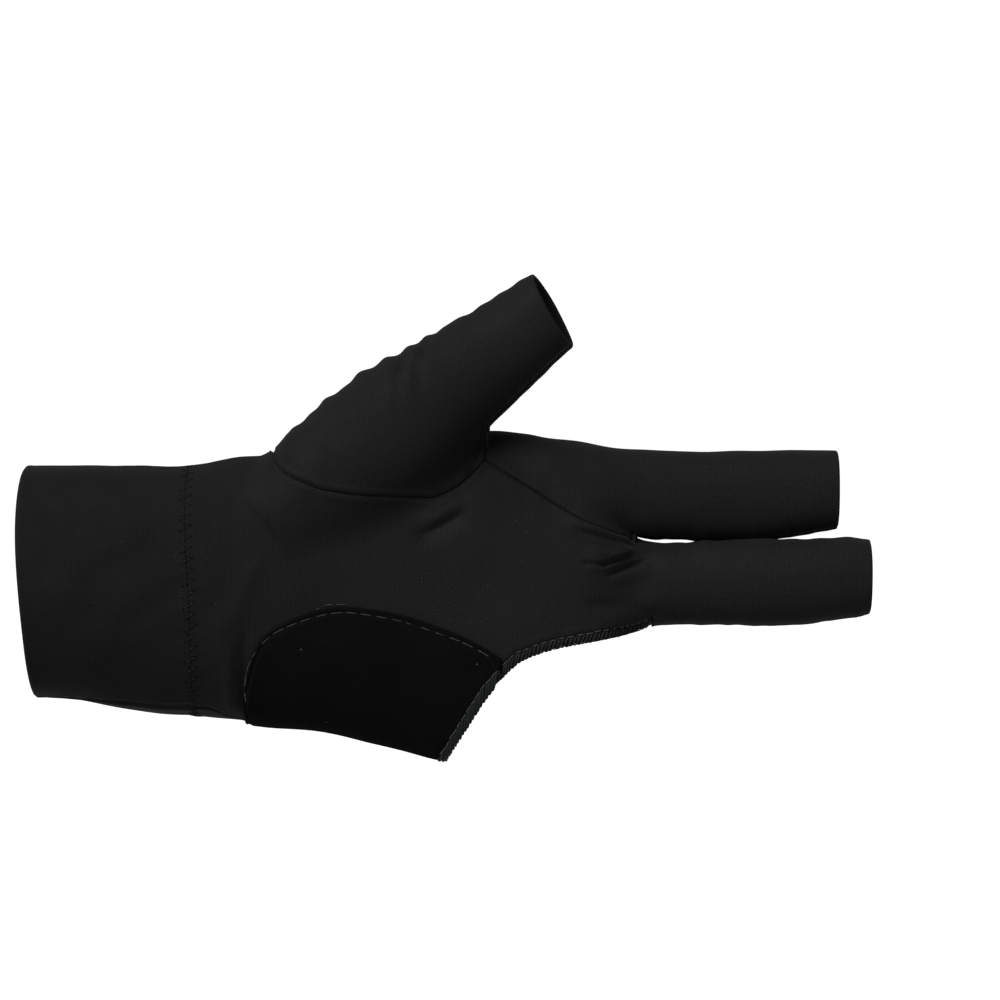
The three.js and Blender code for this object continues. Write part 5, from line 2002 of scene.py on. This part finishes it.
class GloveCloth(PropertyGroup):
    """Colours and weave of the glove's cloths and threads."""

    cloth_dark: FloatVectorProperty(
        name="Cloth, dark", description="Colour between the knit's threads", subtype="COLOR", min=0, max=1,
        default=(0.0014, 0.0014, 0.0015),
    )
    cloth_light: FloatVectorProperty(
        name="Cloth, light", description="Colour of the knit's threads", subtype="COLOR", min=0, max=1,
        default=(0.0112, 0.0112, 0.0116),
    )
    patch_dark: FloatVectorProperty(
        name="Patch, dark", description="Colour deep in the pile", subtype="COLOR", min=0, max=1,
        default=(0.0012, 0.0012, 0.0013),
    )
    patch_light: FloatVectorProperty(
        name="Patch, light", description="Colour of the pile's tips", subtype="COLOR", min=0, max=1,
        default=(0.003, 0.003, 0.0032),
    )
    hem_dark: FloatVectorProperty(
        name="Hem, dark", description="Colour of the overlock thread", subtype="COLOR", min=0, max=1,
        default=(0.003, 0.0038, 0.0037),
    )
    hem_light: FloatVectorProperty(
        name="Hem, flecks", description="Colour of its flecks", subtype="COLOR", min=0, max=1,
        default=(0.009, 0.0108, 0.0104),
    )
    dark_thread: FloatVectorProperty(
        name="Dark thread", description="Colour of the zigzag's thread", subtype="COLOR", min=0, max=1,
        default=(0.004, 0.004, 0.0045),
    )
    dark_fleck: FloatVectorProperty(
        name="Dark thread, flecks", description="Colour of its flecks", subtype="COLOR", min=0, max=1,
        default=(0.02, 0.02, 0.021),
    )
    light_thread: FloatVectorProperty(
        name="Grey thread", description="Colour of the patch's stitches", subtype="COLOR", min=0, max=1,
        default=(0.012, 0.012, 0.012),
    )
    light_fleck: FloatVectorProperty(
        name="Grey thread, flecks", description="Colour of their flecks", subtype="COLOR", min=0, max=1,
        default=(0.042, 0.042, 0.042),
    )
    wale: FloatProperty(
        name="Wale", description="Width of one column of the knit", unit="LENGTH", default=0.00055, min=0.0002
    )
    course: FloatProperty(
        name="Course", description="Height of one row of the knit", unit="LENGTH", default=0.00066, min=0.0002
    )
    sheen: FloatProperty(
        name="Sheen", description="How much the cloth's fibres catch the light", subtype="FACTOR",
        default=0.02, min=0, max=1,
    )


class GloveStudio(PropertyGroup):
    """Floor and lights."""

    floor: FloatVectorProperty(
        name="Floor", description="Colour of the floor", subtype="COLOR", min=0, max=1,
        default=(0.9, 0.9, 0.9),
    )
    bounce: FloatProperty(
        name="Bounce", description="How much of the light the floor throws back", subtype="FACTOR",
        default=0.38, min=0, max=1,
    )
    surround: FloatProperty(name="Surround", description="Strength of the white surround", default=0.3, min=0)
    key: FloatProperty(name="Key", description="Strength of the main light", default=5.0, min=0)
    fill: FloatProperty(name="Fill", description="Strength of the fill light", default=0.6, min=0)
    soft: FloatProperty(
        name="Softness", description="Angle over which each light spreads", unit="ROTATION", default=0.55
    )


STEPS = (
    GLOVE_OT_cuff,
    GLOVE_OT_panels,
    GLOVE_OT_patch,
    GLOVE_OT_index,
    GLOVE_OT_thumb,
    GLOVE_OT_hems,
    GLOVE_OT_patch_stitches,
    GLOVE_OT_zigzag,
    GLOVE_OT_studio,
)


class VIEW3D_PT_glove(Panel):
    """Lists the glove's pieces and their settings."""

    bl_label = "Billiard glove"
    bl_idname = "VIEW3D_PT_glove"
    bl_space_type = "VIEW_3D"
    bl_region_type = "UI"
    bl_category = "Glove"

    def draw(self, context):
        column = self.layout.column()
        for step in STEPS:
            column.operator(step.bl_idname)
        for settings in (context.scene.glove_cloth, context.scene.glove_studio):
            for name in settings.bl_rna.properties.keys():
                if name not in ("rna_type", "name"):
                    column.prop(settings, name)


CLASSES = (GloveCloth, GloveStudio, *STEPS, VIEW3D_PT_glove)


def register():
    for part in CLASSES:
        bpy.utils.register_class(part)
    bpy.types.Scene.glove_cloth = PointerProperty(type=GloveCloth)
    bpy.types.Scene.glove_studio = PointerProperty(type=GloveStudio)


def unregister():
    del bpy.types.Scene.glove_studio
    del bpy.types.Scene.glove_cloth
    for part in reversed(CLASSES):
        bpy.utils.unregister_class(part)


def main():
    register()
    bpy.ops.glove.cuff()
    bpy.ops.glove.panels()
    bpy.ops.glove.patch()
    bpy.ops.glove.index()
    bpy.ops.glove.thumb()
    bpy.ops.glove.hems()
    bpy.ops.glove.patch_stitches()
    bpy.ops.glove.zigzag()
    bpy.ops.glove.studio()


if __name__ == "__main__":
    main()
